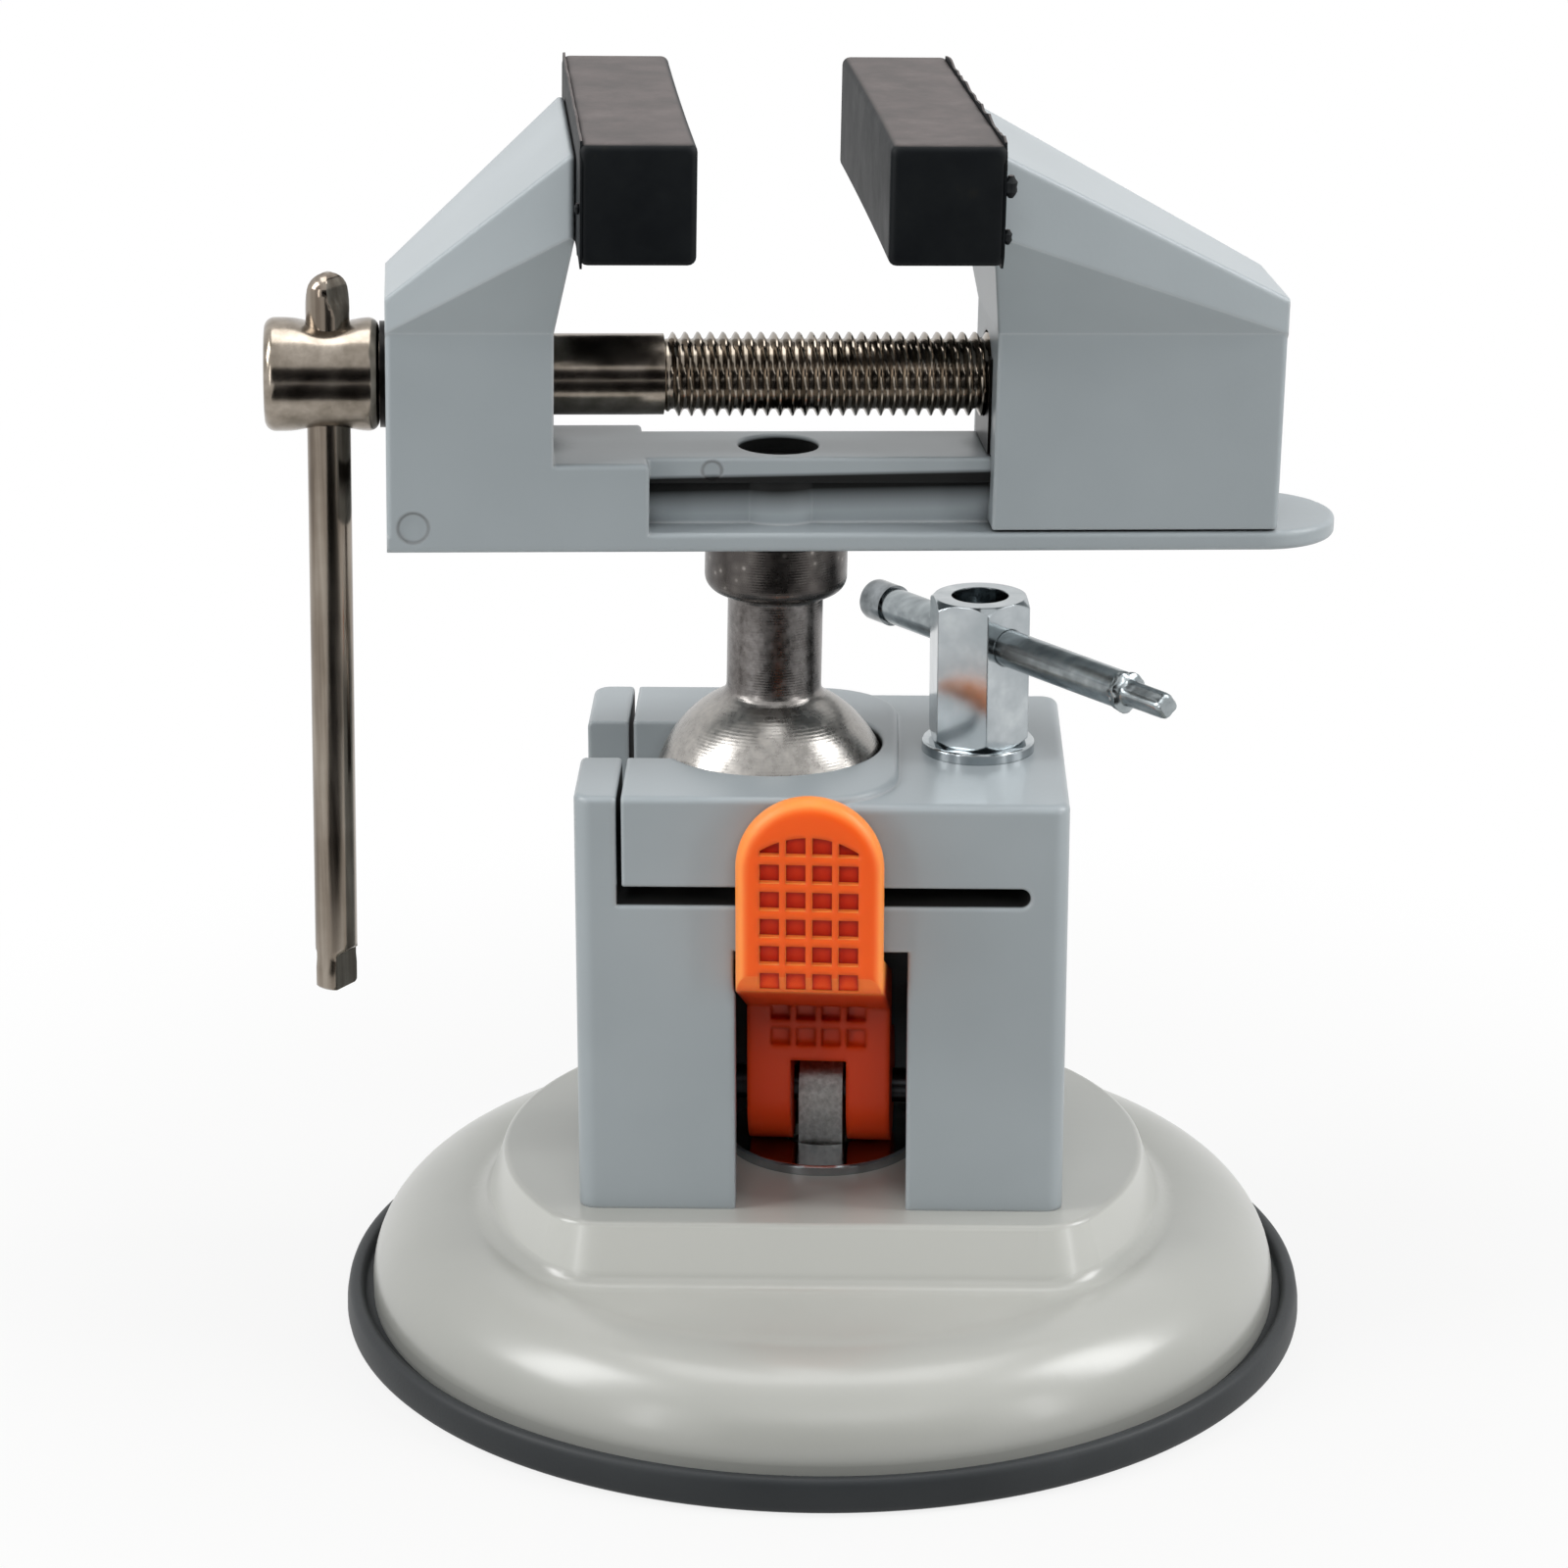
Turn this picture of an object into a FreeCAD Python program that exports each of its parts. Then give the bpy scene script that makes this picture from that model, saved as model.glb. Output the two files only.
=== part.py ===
"""Suction base vise with a ball-jointed head, in millimetres.

Z is up and the origin is the centre of the suction face on the bench. The head's screw runs
along X. The base stands turned by base_turn about Z, because the ball joint lets the head be
set at any angle to it. Base pieces are drawn square to the base, with its front towards -Y,
and are turned as they are saved. Head pieces are drawn about the ball stud's upright axis, and
are laid over by head_roll about the ball's centre as they are saved.
"""
import FreeCAD, Part
import math
import os
from FreeCAD import Vector

# Clearances
running_gap = 0.05          # radial, a shaft that turns or slides in its hole
loose_gap = 0.3             # beside parts that move without touching
seat_gap = 0.35             # radial, ball in its seat
thrust_gap = 0.05           # axial, under the head of the jaw screw

# Suction cup: one rubber disc with an upturned rim
cup_radius = 70.0
cup_floor = 3.0
cup_rim_height = 5.0
cup_rim_wall = 2.6
cup_edge_break = 0.6

# Base dome: a cast shell with a rounded bulge and a platform flattened front and back
dome_rim_gap = 1.3
dome_wall = 3.0
dome_edge_height = 2.3
dome_bulge = 11.7
dome_dip_angle = 15.0
platform_radius = 46.5
platform_half_depth = 30.9
platform_corner = 9.0
platform_draft = 3.2
platform_top = 24.8
platform_edge_round = 1.0
platform_foot_round = 2.5

# Pull stem, its plate and spring, and the washer that the cams bear on
stem_radius = 6.0
stem_lift = 2.5
tab_width = 6.3
tab_radius = 5.3
plate_radius = 24.0
plate_thickness = 1.5
spring_coil_radius = 9.0
spring_wire_radius = 0.7
spring_turns = 5
spring_end_gap = 0.1
cam_washer_radius = 14.0
cam_washer_thickness = 1.5
pivot_rise = 7.2
pin_radius = 2.5
pin_beyond_lever = 2.7

# Cam lever: a forked cam, an arm that leans out through the arch and an upright paddle
lever_half_width = 10.2
fork_gap = 0.85
cam_throw = 2.5
lever_travel = 60.0
cam_bearing_gap = 0.1
paddle_thickness = 4.5
paddle_gap = 1.2
paddle_length = 28.0
paddle_rise = 25.9
arm_thickness = 4.0
web_thickness = 6.0
web_rise = 18.0
crotch_rise = 7.7
pocket_size = 2.75
pocket_pitch = (3.62, 3.95)
pocket_depth = 1.3
pocket_columns = 4
pocket_rows = 6
pocket_arch_radius = 12.1
pocket_floor = 0.4
web_pocket_rows = 2
web_pocket_floor = 2.2
lever_edge_round = 2.0
paddle_heel = (1.2, 2.6)
arm_step = (1.0, 0.4)

# Base block: a cast block with an arch for the lever and a slit clamp around the ball
block_half_width = 34.1
block_half_depth = 25.8
block_height = 60.2
block_corner = 2.5
block_edge_round = 1.2
block_edge_break = 0.6
block_slit_break = 0.3
pad_step = 1.0
pad_right = 10.6
pad_corner = 12.0
front_wall = 5.8
back_wall = 5.0
arch_side_gap = 1.8
arch_over_paddle = 4.1
arch_depth = 11.8
cavity_side_gap = 1.0
slit_below_ball = 7.5
slit_height = 2.6
slit_past_clamp = 6.9
wall_slit = 0.7
left_wall = 5.9
notch_side_gap = 1.5

# Block screws, put in from under the dome
block_screw_radius = 2.5
block_screw_head_radius = 4.25
block_screw_head_height = 3.0
block_screw_reach = 12.0
block_screw_x = 24.5
block_screw_y = 17.0

# Clamp: stud, washer, tall hexagon nut and its sliding bar
clamp_from_ball = 29.3
clamp_stud_radius = 4.0
clamp_stud_depth = 20.0
clamp_washer_radius = 8.0
clamp_washer_thickness = 1.6
clamp_nut_across_flats = 13.0
clamp_nut_height = 21.0
clamp_bar_height = 14.85
clamp_bar_angle = -52.4
clamp_bar_radius = 2.6
clamp_bar_left = 19.6
clamp_bar_right = 32.5
clamp_stub_radius = 1.7
clamp_stub_length = 8.0
clamp_knob_radius = 4.1
clamp_knob_length = 4.6
clamp_knob_waist = 0.62
clamp_swage_radius = 3.0
clamp_swage_length = 1.4

# Ball stud
ball_x = -7.4
ball_radius = 17.0
ball_below_top = 7.2
neck_radius = 6.7
collar_radius = 10.0
collar_height = 6.2
collar_round = 2.4
collar_chamfer = 0.5

# Stud screw and spring washer, sunk in the bed
stud_screw_radius = 3.0
stud_screw_head_radius = 5.0
stud_screw_head_height = 6.0
stud_screw_reach = 15.0
stud_screw_hex = 5.0
stud_washer_thickness = 1.2
bed_hole_gap = 0.6
bed_floor = 3.1

# Bed, rail and jaws
stud_reach = 39.1
flange_thickness = 2.7
bed_half_width = 11.6
bed_left = -54.3
bed_past_jaw = 10.05
foot_past_jaw = 13.1
bed_height = 12.4
rail_thickness = 3.65
rail_half_width = 7.7
rail_short_of_bed = 13.85
web_half_width = 6.0
rail_boss_radius = 7.4
fixed_length = 22.7
moving_length = 39.9
jaw_over_screw = 8.3
jaw_outer_rise = 4.8
jaw_half_width = 23.0
jaw_face_rise = 15.8
jaw_face_height = 11.2
fixed_face_lean = 2.5
moving_face_lean = 2.6
jaw_spread = 55.3
jaw_edge_round = 0.7
jaw_edge_break = 0.4

# Rubber jaw pads, pushed over a tongue on each jaw
pad_half_length = 35.0
pad_thickness = 15.2
pad_drop = 1.7
pad_height = 15.9
pad_edge_round = 1.0
tongue_half_length = 19.0
tongue_depth = 7.0
tongue_rise = 4.0
tongue_height = 7.3
tongue_gap = 0.2

# Jaw screw, its washer, clip and nut, and the tommy bar
screw_over_rail = 10.0
screw_head_radius = 7.8
screw_head_length = 15.7
screw_head_round = 1.2
screw_shank_radius = 5.6
screw_shank_past_jaw = 15.5
screw_short_of_jaw = 1.8
thread_radius = 5.8
thread_depth = 0.95
thread_pitch = 1.75
thrust_washer_radius = 7.3
thrust_washer_thickness = 0.8
clip_radius = 7.4
clip_thickness = 1.0
clip_groove_depth = 0.6
clip_setback = 0.6
jaw_nut_thickness = 3.0
jaw_nut_proud = 0.4
jaw_nut_half_width = 6.8
jaw_nut_over_screw = 3.6
tommy_from_seat = 7.0
tommy_radius = 3.0
tommy_above = 14.2
tommy_below = 89.6
tommy_flat_length = 6.0
tommy_flat_half = 1.6
tommy_flat_turn = 54.0

# Ejector-pin marks left by the casting die
mark_depth = 0.3
foot_mark_radius = 2.1
foot_mark_inset = 3.6
rail_mark_radius = 1.35
rail_mark_from_foot = 8.8

base_turn = -5.75
stem_turn = -3.0            # the round stem turns in its hole, so the lever stands a little askew
head_roll = 1.06            # the head is laid over on its ball by this much, towards +X

# Sizes that follow from the ones above
dome_radius = cup_radius - cup_rim_wall - dome_rim_gap
bulge_centre_radius = dome_radius - dome_bulge
bulge_centre_height = cup_floor + dome_edge_height
dip_radius = bulge_centre_radius - 2 * dome_bulge * math.sin(math.radians(dome_dip_angle))
dip_height = bulge_centre_height + dome_bulge * (2 * math.cos(math.radians(dome_dip_angle)) - 1)
shell_ceiling = platform_top - dome_wall
cam_washer_top = platform_top + cam_washer_thickness
stem_hole_radius = stem_radius + loose_gap
pivot_height = cam_washer_top + pivot_rise
pin_half_length = lever_half_width + pin_beyond_lever
lever_front = -(block_half_depth + paddle_gap + paddle_thickness)
paddle_bottom = pivot_height + paddle_rise
paddle_top = paddle_bottom + paddle_length
web_top = pivot_height + web_rise
fork_crotch = pivot_height + crotch_rise
fork_half_gap = tab_width / 2 + fork_gap
cam_lean = math.radians(lever_travel / 2)
cam_y = -cam_throw * math.cos(cam_lean)
cam_z = pivot_height + cam_throw * math.sin(cam_lean)
cam_radius = cam_z - cam_washer_top - cam_bearing_gap
block_top = platform_top + block_height
block_pad_top = block_top + pad_step
arch_half_width = lever_half_width + arch_side_gap
arch_top = paddle_bottom + arch_over_paddle
cavity_half_width = cam_washer_radius + cavity_side_gap
notch_half_width = neck_radius + notch_side_gap
clamp_x = ball_x + clamp_from_ball
slit_end = clamp_x + slit_past_clamp
ball_height = block_top - ball_below_top
slit_bottom = ball_height - slit_below_ball
slit_top = slit_bottom + slit_height
clamp_stud_bottom = slit_bottom - clamp_stud_depth
seat_radius = ball_radius + seat_gap
clamp_washer_top = block_top + clamp_washer_thickness
clamp_nut_top = clamp_washer_top + clamp_nut_height
clamp_bar_z = clamp_washer_top + clamp_bar_height
clamp_stud_top = clamp_bar_z - clamp_bar_radius - 1.0
bed_bottom = ball_height + stud_reach
rail_top = bed_bottom + bed_height
flange_top = bed_bottom + flange_thickness
rail_bottom = rail_top - rail_thickness
washer_seat = bed_bottom + bed_floor
head_seat = washer_seat + stud_washer_thickness
bed_hole_radius = stud_screw_head_radius + bed_hole_gap
screw_height = rail_top + screw_over_rail
jaw_box_top = screw_height + jaw_over_screw
jaw_outer_top = jaw_box_top + jaw_outer_rise
jaw_face_bottom = jaw_box_top + jaw_face_rise
jaw_face_top = jaw_face_bottom + jaw_face_height
jaw_nut_top = screw_height + jaw_nut_over_screw
pad_bottom = jaw_face_bottom - pad_drop
pad_top = pad_bottom + pad_height
tongue_bottom = pad_bottom + tongue_rise
tongue_top = tongue_bottom + tongue_height
fixed_inner = bed_left + fixed_length
fixed_face = fixed_inner + fixed_face_lean
foot_right = fixed_inner + foot_past_jaw
moving_face = fixed_face + jaw_spread
moving_inner = moving_face + moving_face_lean
moving_outer = moving_inner + moving_length
bed_right = moving_outer + bed_past_jaw
rail_right = bed_right - rail_short_of_bed
rail_mark_x = foot_right + rail_mark_from_foot
washer_left = bed_left - thrust_washer_thickness
screw_seat = washer_left - thrust_gap
screw_shank_end = fixed_inner + screw_shank_past_jaw
screw_end = moving_outer - screw_short_of_jaw
tommy_x = screw_seat - tommy_from_seat
clip_pocket = clip_thickness + clip_setback


def box(x, y, z):
    """A block between two limits along each axis."""
    return Part.makeBox(x[1] - x[0], y[1] - y[0], z[1] - z[0], Vector(x[0], y[0], z[0]))


def upright(radius, bottom, top, x=0.0, y=0.0):
    """An upright cylinder."""
    return Part.makeCylinder(radius, top - bottom, Vector(x, y, bottom))


def along_x(radius, left, right, z):
    """A cylinder along X in the plane y = 0."""
    return Part.makeCylinder(radius, right - left, Vector(left, 0, z), Vector(1, 0, 0))


def across(radius, half_length, y, z):
    """A cylinder along X, centred on x = 0."""
    return Part.makeCylinder(radius, 2 * half_length, Vector(-half_length, y, z), Vector(1, 0, 0))


def corners(points):
    """Straight edges through the points, in order."""
    return [Part.LineSegment(a, b).toShape() for a, b in zip(points, points[1:])]


def arc(first, middle, last):
    """One circular edge through three points."""
    return Part.Arc(first, middle, last).toShape()


def turned(edges, centre=Vector(0, 0, 0), axis=Vector(0, 0, 1)):
    """A solid of revolution from the closed outline of half its section."""
    return Part.Face(Part.Wire(edges)).revolve(centre, axis, 360)


def ring_section(points):
    """The closed outline through (radius, height) pairs, in the plane y = 0."""
    places = [Vector(r, 0, z) for r, z in points]
    return corners(places + places[:1])


def side_section(points, half_width):
    """A slab of the given half width along X, from its outline in (y, z) pairs."""
    places = [Vector(-half_width, y, z) for y, z in points]
    face = Part.Face(Part.Wire(corners(places + places[:1])))
    return face.extrude(Vector(2 * half_width, 0, 0))


def upright_edges(shape):
    """The straight edges that run along Z."""
    return [e for e in shape.Edges if e.BoundBox.XLength + e.BoundBox.YLength < 0.001]


def edges_at(shape, z):
    """The edges that lie wholly at one height."""
    return [e for e in shape.Edges if abs(e.BoundBox.ZMin - z) + abs(e.BoundBox.ZMax - z) < 0.002]


def edges_where(shape, chosen):
    """The edges whose middle point passes a test."""
    return [e for e in shape.Edges if chosen(e.CenterOfMass, e)]


def rounded_block(x, y, z, corner, top_round):
    """A cast block with rounded upright corners and a rounded top edge."""
    body = box(x, y, z)
    body = body.makeFillet(corner, upright_edges(body))
    return body.makeFillet(top_round, edges_at(body, z[1]))


def suction_cup():
    section = ring_section([
        (0, 0),
        (cup_radius - cup_edge_break, 0),
        (cup_radius, cup_edge_break),
        (cup_radius, cup_rim_height),
        (cup_radius - cup_rim_wall, cup_rim_height),
        (cup_radius - cup_rim_wall, cup_floor),
        (0, cup_floor),
    ])
    return turned(section)


def dome_section(inset):
    """Half the section under the dome's skin, set in from it by inset and filled to the axis.

    A convex arc makes the bulge, and a concave arc leads from it down to the platform's foot.
    """
    crest = Vector(bulge_centre_radius, 0, bulge_centre_height)
    hollow = Vector(dip_radius, 0, dip_height + dome_bulge)
    convex, concave = dome_bulge - inset, dome_bulge + inset

    def over(angle):
        a = math.radians(angle)
        return crest + Vector(math.sin(a), 0, math.cos(a)) * convex

    def under(angle):
        a = math.radians(angle)
        return hollow + Vector(math.sin(a), 0, -math.cos(a)) * concave

    turn = dome_dip_angle
    edges = corners([Vector(0, 0, cup_floor), Vector(crest.x + convex, 0, cup_floor), over(90)])
    edges += [arc(over(90), over(45), over(-turn)), arc(over(-turn), under(turn / 2), under(0))]
    return edges + corners([under(0), Vector(0, 0, under(0).z), Vector(0, 0, cup_floor)])


def platform_outline():
    """The round platform, flattened front and back, as an upright slab one unit tall."""
    disc = upright(platform_radius, 0, 1)
    band = box((-platform_radius, platform_radius), (-platform_half_depth, platform_half_depth), (0, 1))
    slab = disc.common(band)
    return slab.makeFillet(platform_corner, upright_edges(slab))


def wire_at(slab, grow, z):
    """The slab's bottom outline, grown outwards and set at a height."""
    face = min(slab.Faces, key=lambda f: f.CenterOfMass.z)
    wire = face.OuterWire.makeOffset2D(grow) if grow else face.OuterWire
    wire.translate(Vector(0, 0, z - face.CenterOfMass.z))
    return wire


def base_dome():
    slab = platform_outline()
    skin = turned(dome_section(0))
    foot_wire = wire_at(slab, platform_draft, dip_height - 1)
    raised = Part.makeLoft([foot_wire, wire_at(slab, 0, platform_top)], True)
    raised = raised.makeFillet(platform_edge_round, edges_at(raised, platform_top))
    dome = skin.fuse(raised).removeSplitter()
    foot = [e for e in edges_at(dome, dip_height) if e.BoundBox.XMax < platform_radius + 5]
    dome = dome.makeFillet(platform_foot_round, foot)
    under_platform = Part.Face(wire_at(slab, -dome_wall, cup_floor))
    hollow = under_platform.extrude(Vector(0, 0, shell_ceiling - cup_floor))
    hollow = hollow.fuse(turned(dome_section(dome_wall)))
    dome = dome.cut(hollow)
    dome = dome.cut(upright(stem_hole_radius, cup_floor, platform_top))
    for x, y in screw_places():
        dome = dome.cut(upright(block_screw_radius + loose_gap, cup_floor, platform_top, x, y))
    return dome


def cup_plate():
    return upright(plate_radius, cup_floor, cup_floor + plate_thickness)


def pull_stem():
    """A round stem that narrows to a flat, round-ended tab with a hole for the lever pin."""
    shoulder = cam_washer_top - stem_lift - 0.5
    stem = upright(stem_radius, cup_floor + plate_thickness, shoulder)
    tab = box((-tab_width / 2, tab_width / 2), (-tab_radius, tab_radius), (shoulder, pivot_height))
    tab = tab.fuse(across(tab_radius, tab_width / 2, 0, pivot_height))
    return stem.fuse(tab).removeSplitter().cut(across(pin_radius, tab_width, 0, pivot_height))


def return_spring():
    low = cup_floor + plate_thickness + spring_end_gap + spring_wire_radius
    height = shell_ceiling - spring_end_gap - spring_wire_radius - low
    helix = Part.makeHelix(height / spring_turns, height, spring_coil_radius)
    helix.translate(Vector(0, 0, low))
    circle = Part.makeCircle(spring_wire_radius, Vector(spring_coil_radius, 0, low), Vector(0, 1, 0))
    return Part.Wire(helix).makePipeShell([Part.Wire(circle)], True, True)


def cam_washer():
    washer = upright(cam_washer_radius, platform_top, cam_washer_top)
    washer = washer.makeChamfer(0.3, edges_at(washer, cam_washer_top))
    return washer.cut(upright(stem_hole_radius, platform_top, cam_washer_top))


def lever_pin():
    pin = across(pin_radius, pin_half_length, 0, pivot_height)
    ends = edges_where(pin, lambda c, e: abs(abs(c.x) - pin_half_length) < 0.01)
    return pin.makeChamfer(0.4, ends)


def paddle_pockets():
    """Square pockets moulded into the outer faces of the paddle and the web."""
    floor = paddle_bottom + pocket_floor
    crown = floor + (pocket_rows - 1) * pocket_pitch[1] + pocket_size - pocket_arch_radius
    tools = []
    for column in range(pocket_columns):
        x = (column - (pocket_columns - 1) / 2) * pocket_pitch[0] - pocket_size / 2
        for row in range(pocket_rows):
            z = floor + row * pocket_pitch[1]
            reach = (lever_front - 1, lever_front + pocket_depth)
            tools.append(box((x, x + pocket_size), reach, (z, z + pocket_size)))
        for row in range(web_pocket_rows):
            z = fork_crotch + web_pocket_floor + row * pocket_pitch[1]
            reach = (cam_y - cam_radius - 1, cam_y - cam_radius + pocket_depth)
            tools.append(box((x, x + pocket_size), reach, (z, z + pocket_size)))
    reach = 3 * lever_half_width
    dome = Part.makeCylinder(pocket_arch_radius, reach, Vector(0, lever_front - 2, crown), Vector(0, 1, 0))
    field = dome.fuse(box((-reach, reach), (lever_front - 2, reach), (0, crown)))
    return Part.makeCompound(tools).common(field)


def cam_lever():
    """The lever upright, with its cams at their lowest."""
    w = lever_half_width
    front = cam_y - cam_radius
    back = front + web_thickness
    paddle_back = lever_front + paddle_thickness
    body = side_section([
        (front, cam_z),
        (front, web_top - arm_thickness / 2),
        (lever_front + paddle_heel[0], paddle_bottom),
        (lever_front, paddle_bottom + paddle_heel[1]),
        (lever_front, paddle_top),
        (paddle_back, paddle_top),
        (paddle_back, paddle_bottom + arm_thickness - arm_step[1]),
        (back - arm_step[0], web_top + arm_thickness / 2),
        (back, web_top),
        (back, cam_z),
    ], w)
    depth = (2 * lever_front, -lever_front)
    crown = Vector(0, depth[0], paddle_top - w)
    outline = Part.makeCylinder(w, depth[1] - depth[0], crown, Vector(0, 1, 0))
    body = body.common(outline.fuse(box((-w, w), depth, (0, crown.z))))
    cams = across(cam_radius, w, cam_y, cam_z)
    body = body.fuse(cams).removeSplitter()
    paddle = edges_where(body, lambda c, e: c.y < paddle_back + 0.1 and c.z > paddle_bottom + arm_thickness)
    body = body.makeFillet(lever_edge_round, [e for e in paddle if e.BoundBox.YLength < 0.01])
    body = body.cut(box((-fork_half_gap, fork_half_gap), depth, (0, fork_crotch)))
    body = body.cut(across(pin_radius + running_gap, 2 * w, 0, pivot_height))
    return body.cut(paddle_pockets())


def screw_places():
    return [(x, y) for x in (-block_screw_x, block_screw_x) for y in (-block_screw_y, block_screw_y)]


def block_screws():
    """Four pan-head screws from inside the dome into the block's feet."""
    screws = []
    for x, y in screw_places():
        head_low = shell_ceiling - block_screw_head_height
        head = upright(block_screw_head_radius, head_low, shell_ceiling, x, y)
        shank = upright(block_screw_radius, shell_ceiling, platform_top + block_screw_reach, x, y)
        screws.append(head.fuse(shank))
    return Part.makeCompound(screws)


def base_block():
    x, y = (-block_half_width, block_half_width), (-block_half_depth, block_half_depth)
    block = rounded_block(x, y, (platform_top, block_top), block_corner, block_edge_round)
    pad = box((x[0], pad_right), y, (slit_bottom - 5, block_pad_top))
    pad = pad.makeFillet(block_corner, [e for e in upright_edges(pad) if e.CenterOfMass.x < 0])
    pad = pad.makeFillet(pad_corner, [e for e in upright_edges(pad) if e.CenterOfMass.x > pad_right - 0.1])
    pad = pad.makeFillet(pad_step * 0.9, edges_at(pad, block_pad_top))
    block = block.fuse(pad).removeSplitter()
    inner_left = x[0] + left_wall
    through = (2 * y[0], 2 * y[1])
    slit = box((inner_left, slit_end - slit_height / 2), through, (slit_bottom, slit_top))
    nose = Vector(slit_end - slit_height / 2, through[0], slit_bottom + slit_height / 2)
    slit_nose = Part.makeCylinder(slit_height / 2, through[1] - through[0], nose, Vector(0, 1, 0))
    block = block.cut(slit.fuse(slit_nose))
    above = (slit_bottom, 2 * block_top)
    block = block.cut(box((inner_left, inner_left + wall_slit), through, above))
    block = block.cut(box((2 * x[0], ball_x), (-notch_half_width, notch_half_width), above))
    block = block.cut(Part.makeSphere(seat_radius, Vector(ball_x, 0, ball_height)))
    arch_x = (-arch_half_width, arch_half_width)
    block = block.cut(box(arch_x, (2 * y[0], y[0] + arch_depth), (0, arch_top)))
    cavity_x = (-cavity_half_width, cavity_half_width)
    block = block.cut(box(cavity_x, (y[0] + front_wall, y[1] - back_wall), (0, arch_top)))
    block = block.cut(upright(clamp_stud_radius + running_gap, clamp_stud_bottom, slit_bottom, clamp_x))
    block = block.cut(upright(clamp_stud_radius + loose_gap, slit_top, 2 * block_top, clamp_x))
    for sx, sy in screw_places():
        reach = platform_top + block_screw_reach + loose_gap
        block = block.cut(upright(block_screw_radius + running_gap, platform_top, reach, sx, sy))
    return eased(block)


def eased(block):
    """The block with the sharp edges of its arch, slits, ball seat and notch broken."""
    wall = -block_half_width + left_wall

    def on_face(c, e):
        return abs(abs(c.y) - block_half_depth) < 0.02 and e.BoundBox.YLength < 0.02

    def on_arch(c, e):
        return on_face(c, e) and abs(c.x) < arch_half_width + 0.1 and platform_top + 0.1 < c.z < arch_top + 0.1

    def on_slit(c, e):
        return on_face(c, e) and slit_bottom - 0.1 < c.z < slit_top + 0.1

    def on_seat(c, e):
        from_ball = math.hypot(c.x - ball_x, c.y)
        return c.z > block_pad_top - 0.01 and e.BoundBox.XLength > 5 and c.x > ball_x - 2 and from_ball < ball_radius

    def on_wall_slit(c, e):
        in_slit = wall - 0.1 < c.x < wall + wall_slit + 0.1
        return in_slit and abs(c.y) > block_half_depth - 1 and e.BoundBox.ZLength > slit_height + 1

    def on_notch(c, e):
        upright_edge = e.BoundBox.ZLength > 5 and e.BoundBox.XLength + e.BoundBox.YLength < 0.02
        return upright_edge and abs(abs(c.y) - notch_half_width) < 0.02

    for chosen, size in ((on_arch, block_edge_break), (on_slit, block_edge_break), (on_seat, block_edge_break),
                         (on_wall_slit, block_slit_break), (on_notch, block_slit_break)):
        block = block.makeFillet(size, edges_where(block, chosen))
    return block


def clamp_stud():
    stud = upright(clamp_stud_radius, clamp_stud_bottom, clamp_stud_top, clamp_x)
    return stud.makeChamfer(0.6, edges_at(stud, clamp_stud_top))


def clamp_washer():
    washer = upright(clamp_washer_radius, block_top, clamp_washer_top, clamp_x)
    washer = washer.makeChamfer(0.25, edges_at(washer, clamp_washer_top))
    return washer.cut(upright(clamp_stud_radius + loose_gap, block_top, clamp_washer_top, clamp_x))


def bar_rod(radius, start, end):
    """A cylinder on the clamp bar's line, by distances from the nut's axis."""
    a = math.radians(clamp_bar_angle)
    along = Vector(math.cos(a), math.sin(a), 0)
    return Part.makeCylinder(radius, end - start, Vector(clamp_x, 0, clamp_bar_z) + along * start, along)


def clamp_nut():
    """A tall hexagon nut with bevelled ends, bored through for the stud and across for the bar."""
    corner = clamp_nut_across_flats / math.sqrt(3)
    points = []
    for k in range(7):
        a = math.radians(clamp_bar_angle + 30 + 60 * k)
        points.append(Vector(clamp_x + corner * math.cos(a), corner * math.sin(a), clamp_washer_top))
    hexagon = Part.Face(Part.Wire(corners(points))).extrude(Vector(0, 0, clamp_nut_height))
    bevel = corner - clamp_nut_across_flats / 2
    envelope = upright(corner, clamp_washer_top, clamp_nut_top, clamp_x)
    ends = [e for z in (clamp_washer_top, clamp_nut_top) for e in edges_at(envelope, z)]
    nut = hexagon.common(envelope.makeChamfer(bevel, ends))
    nut = nut.cut(upright(clamp_stud_radius + running_gap, 0, 2 * clamp_nut_top, clamp_x))
    return nut.cut(bar_rod(clamp_bar_radius + running_gap, -2 * corner, 2 * corner))


def clamp_bar():
    """A round bar with a turned knob on one end and a swaged, stepped other end."""
    bar = bar_rod(clamp_bar_radius, -clamp_bar_left, clamp_bar_right)
    knob_start = -clamp_bar_left - clamp_knob_length
    waist = clamp_knob_length * clamp_knob_waist
    knob = bar_rod(clamp_knob_radius, knob_start, knob_start + waist)
    knob = knob.makeChamfer(0.9, [e for e in knob.Edges if e.Closed])
    collar = bar_rod(clamp_knob_radius * 0.9, knob_start + waist, -clamp_bar_left)
    collar = collar.makeChamfer(0.5, [e for e in collar.Edges if e.Closed])
    swage = bar_rod(clamp_swage_radius, clamp_bar_right - clamp_swage_length, clamp_bar_right)
    swage = swage.makeChamfer(0.35, [e for e in swage.Edges if e.Closed])
    stub = bar_rod(clamp_stub_radius, clamp_bar_right, clamp_bar_right + clamp_stub_length)
    return bar.fuse([knob, collar, swage, stub]).removeSplitter()


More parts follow.
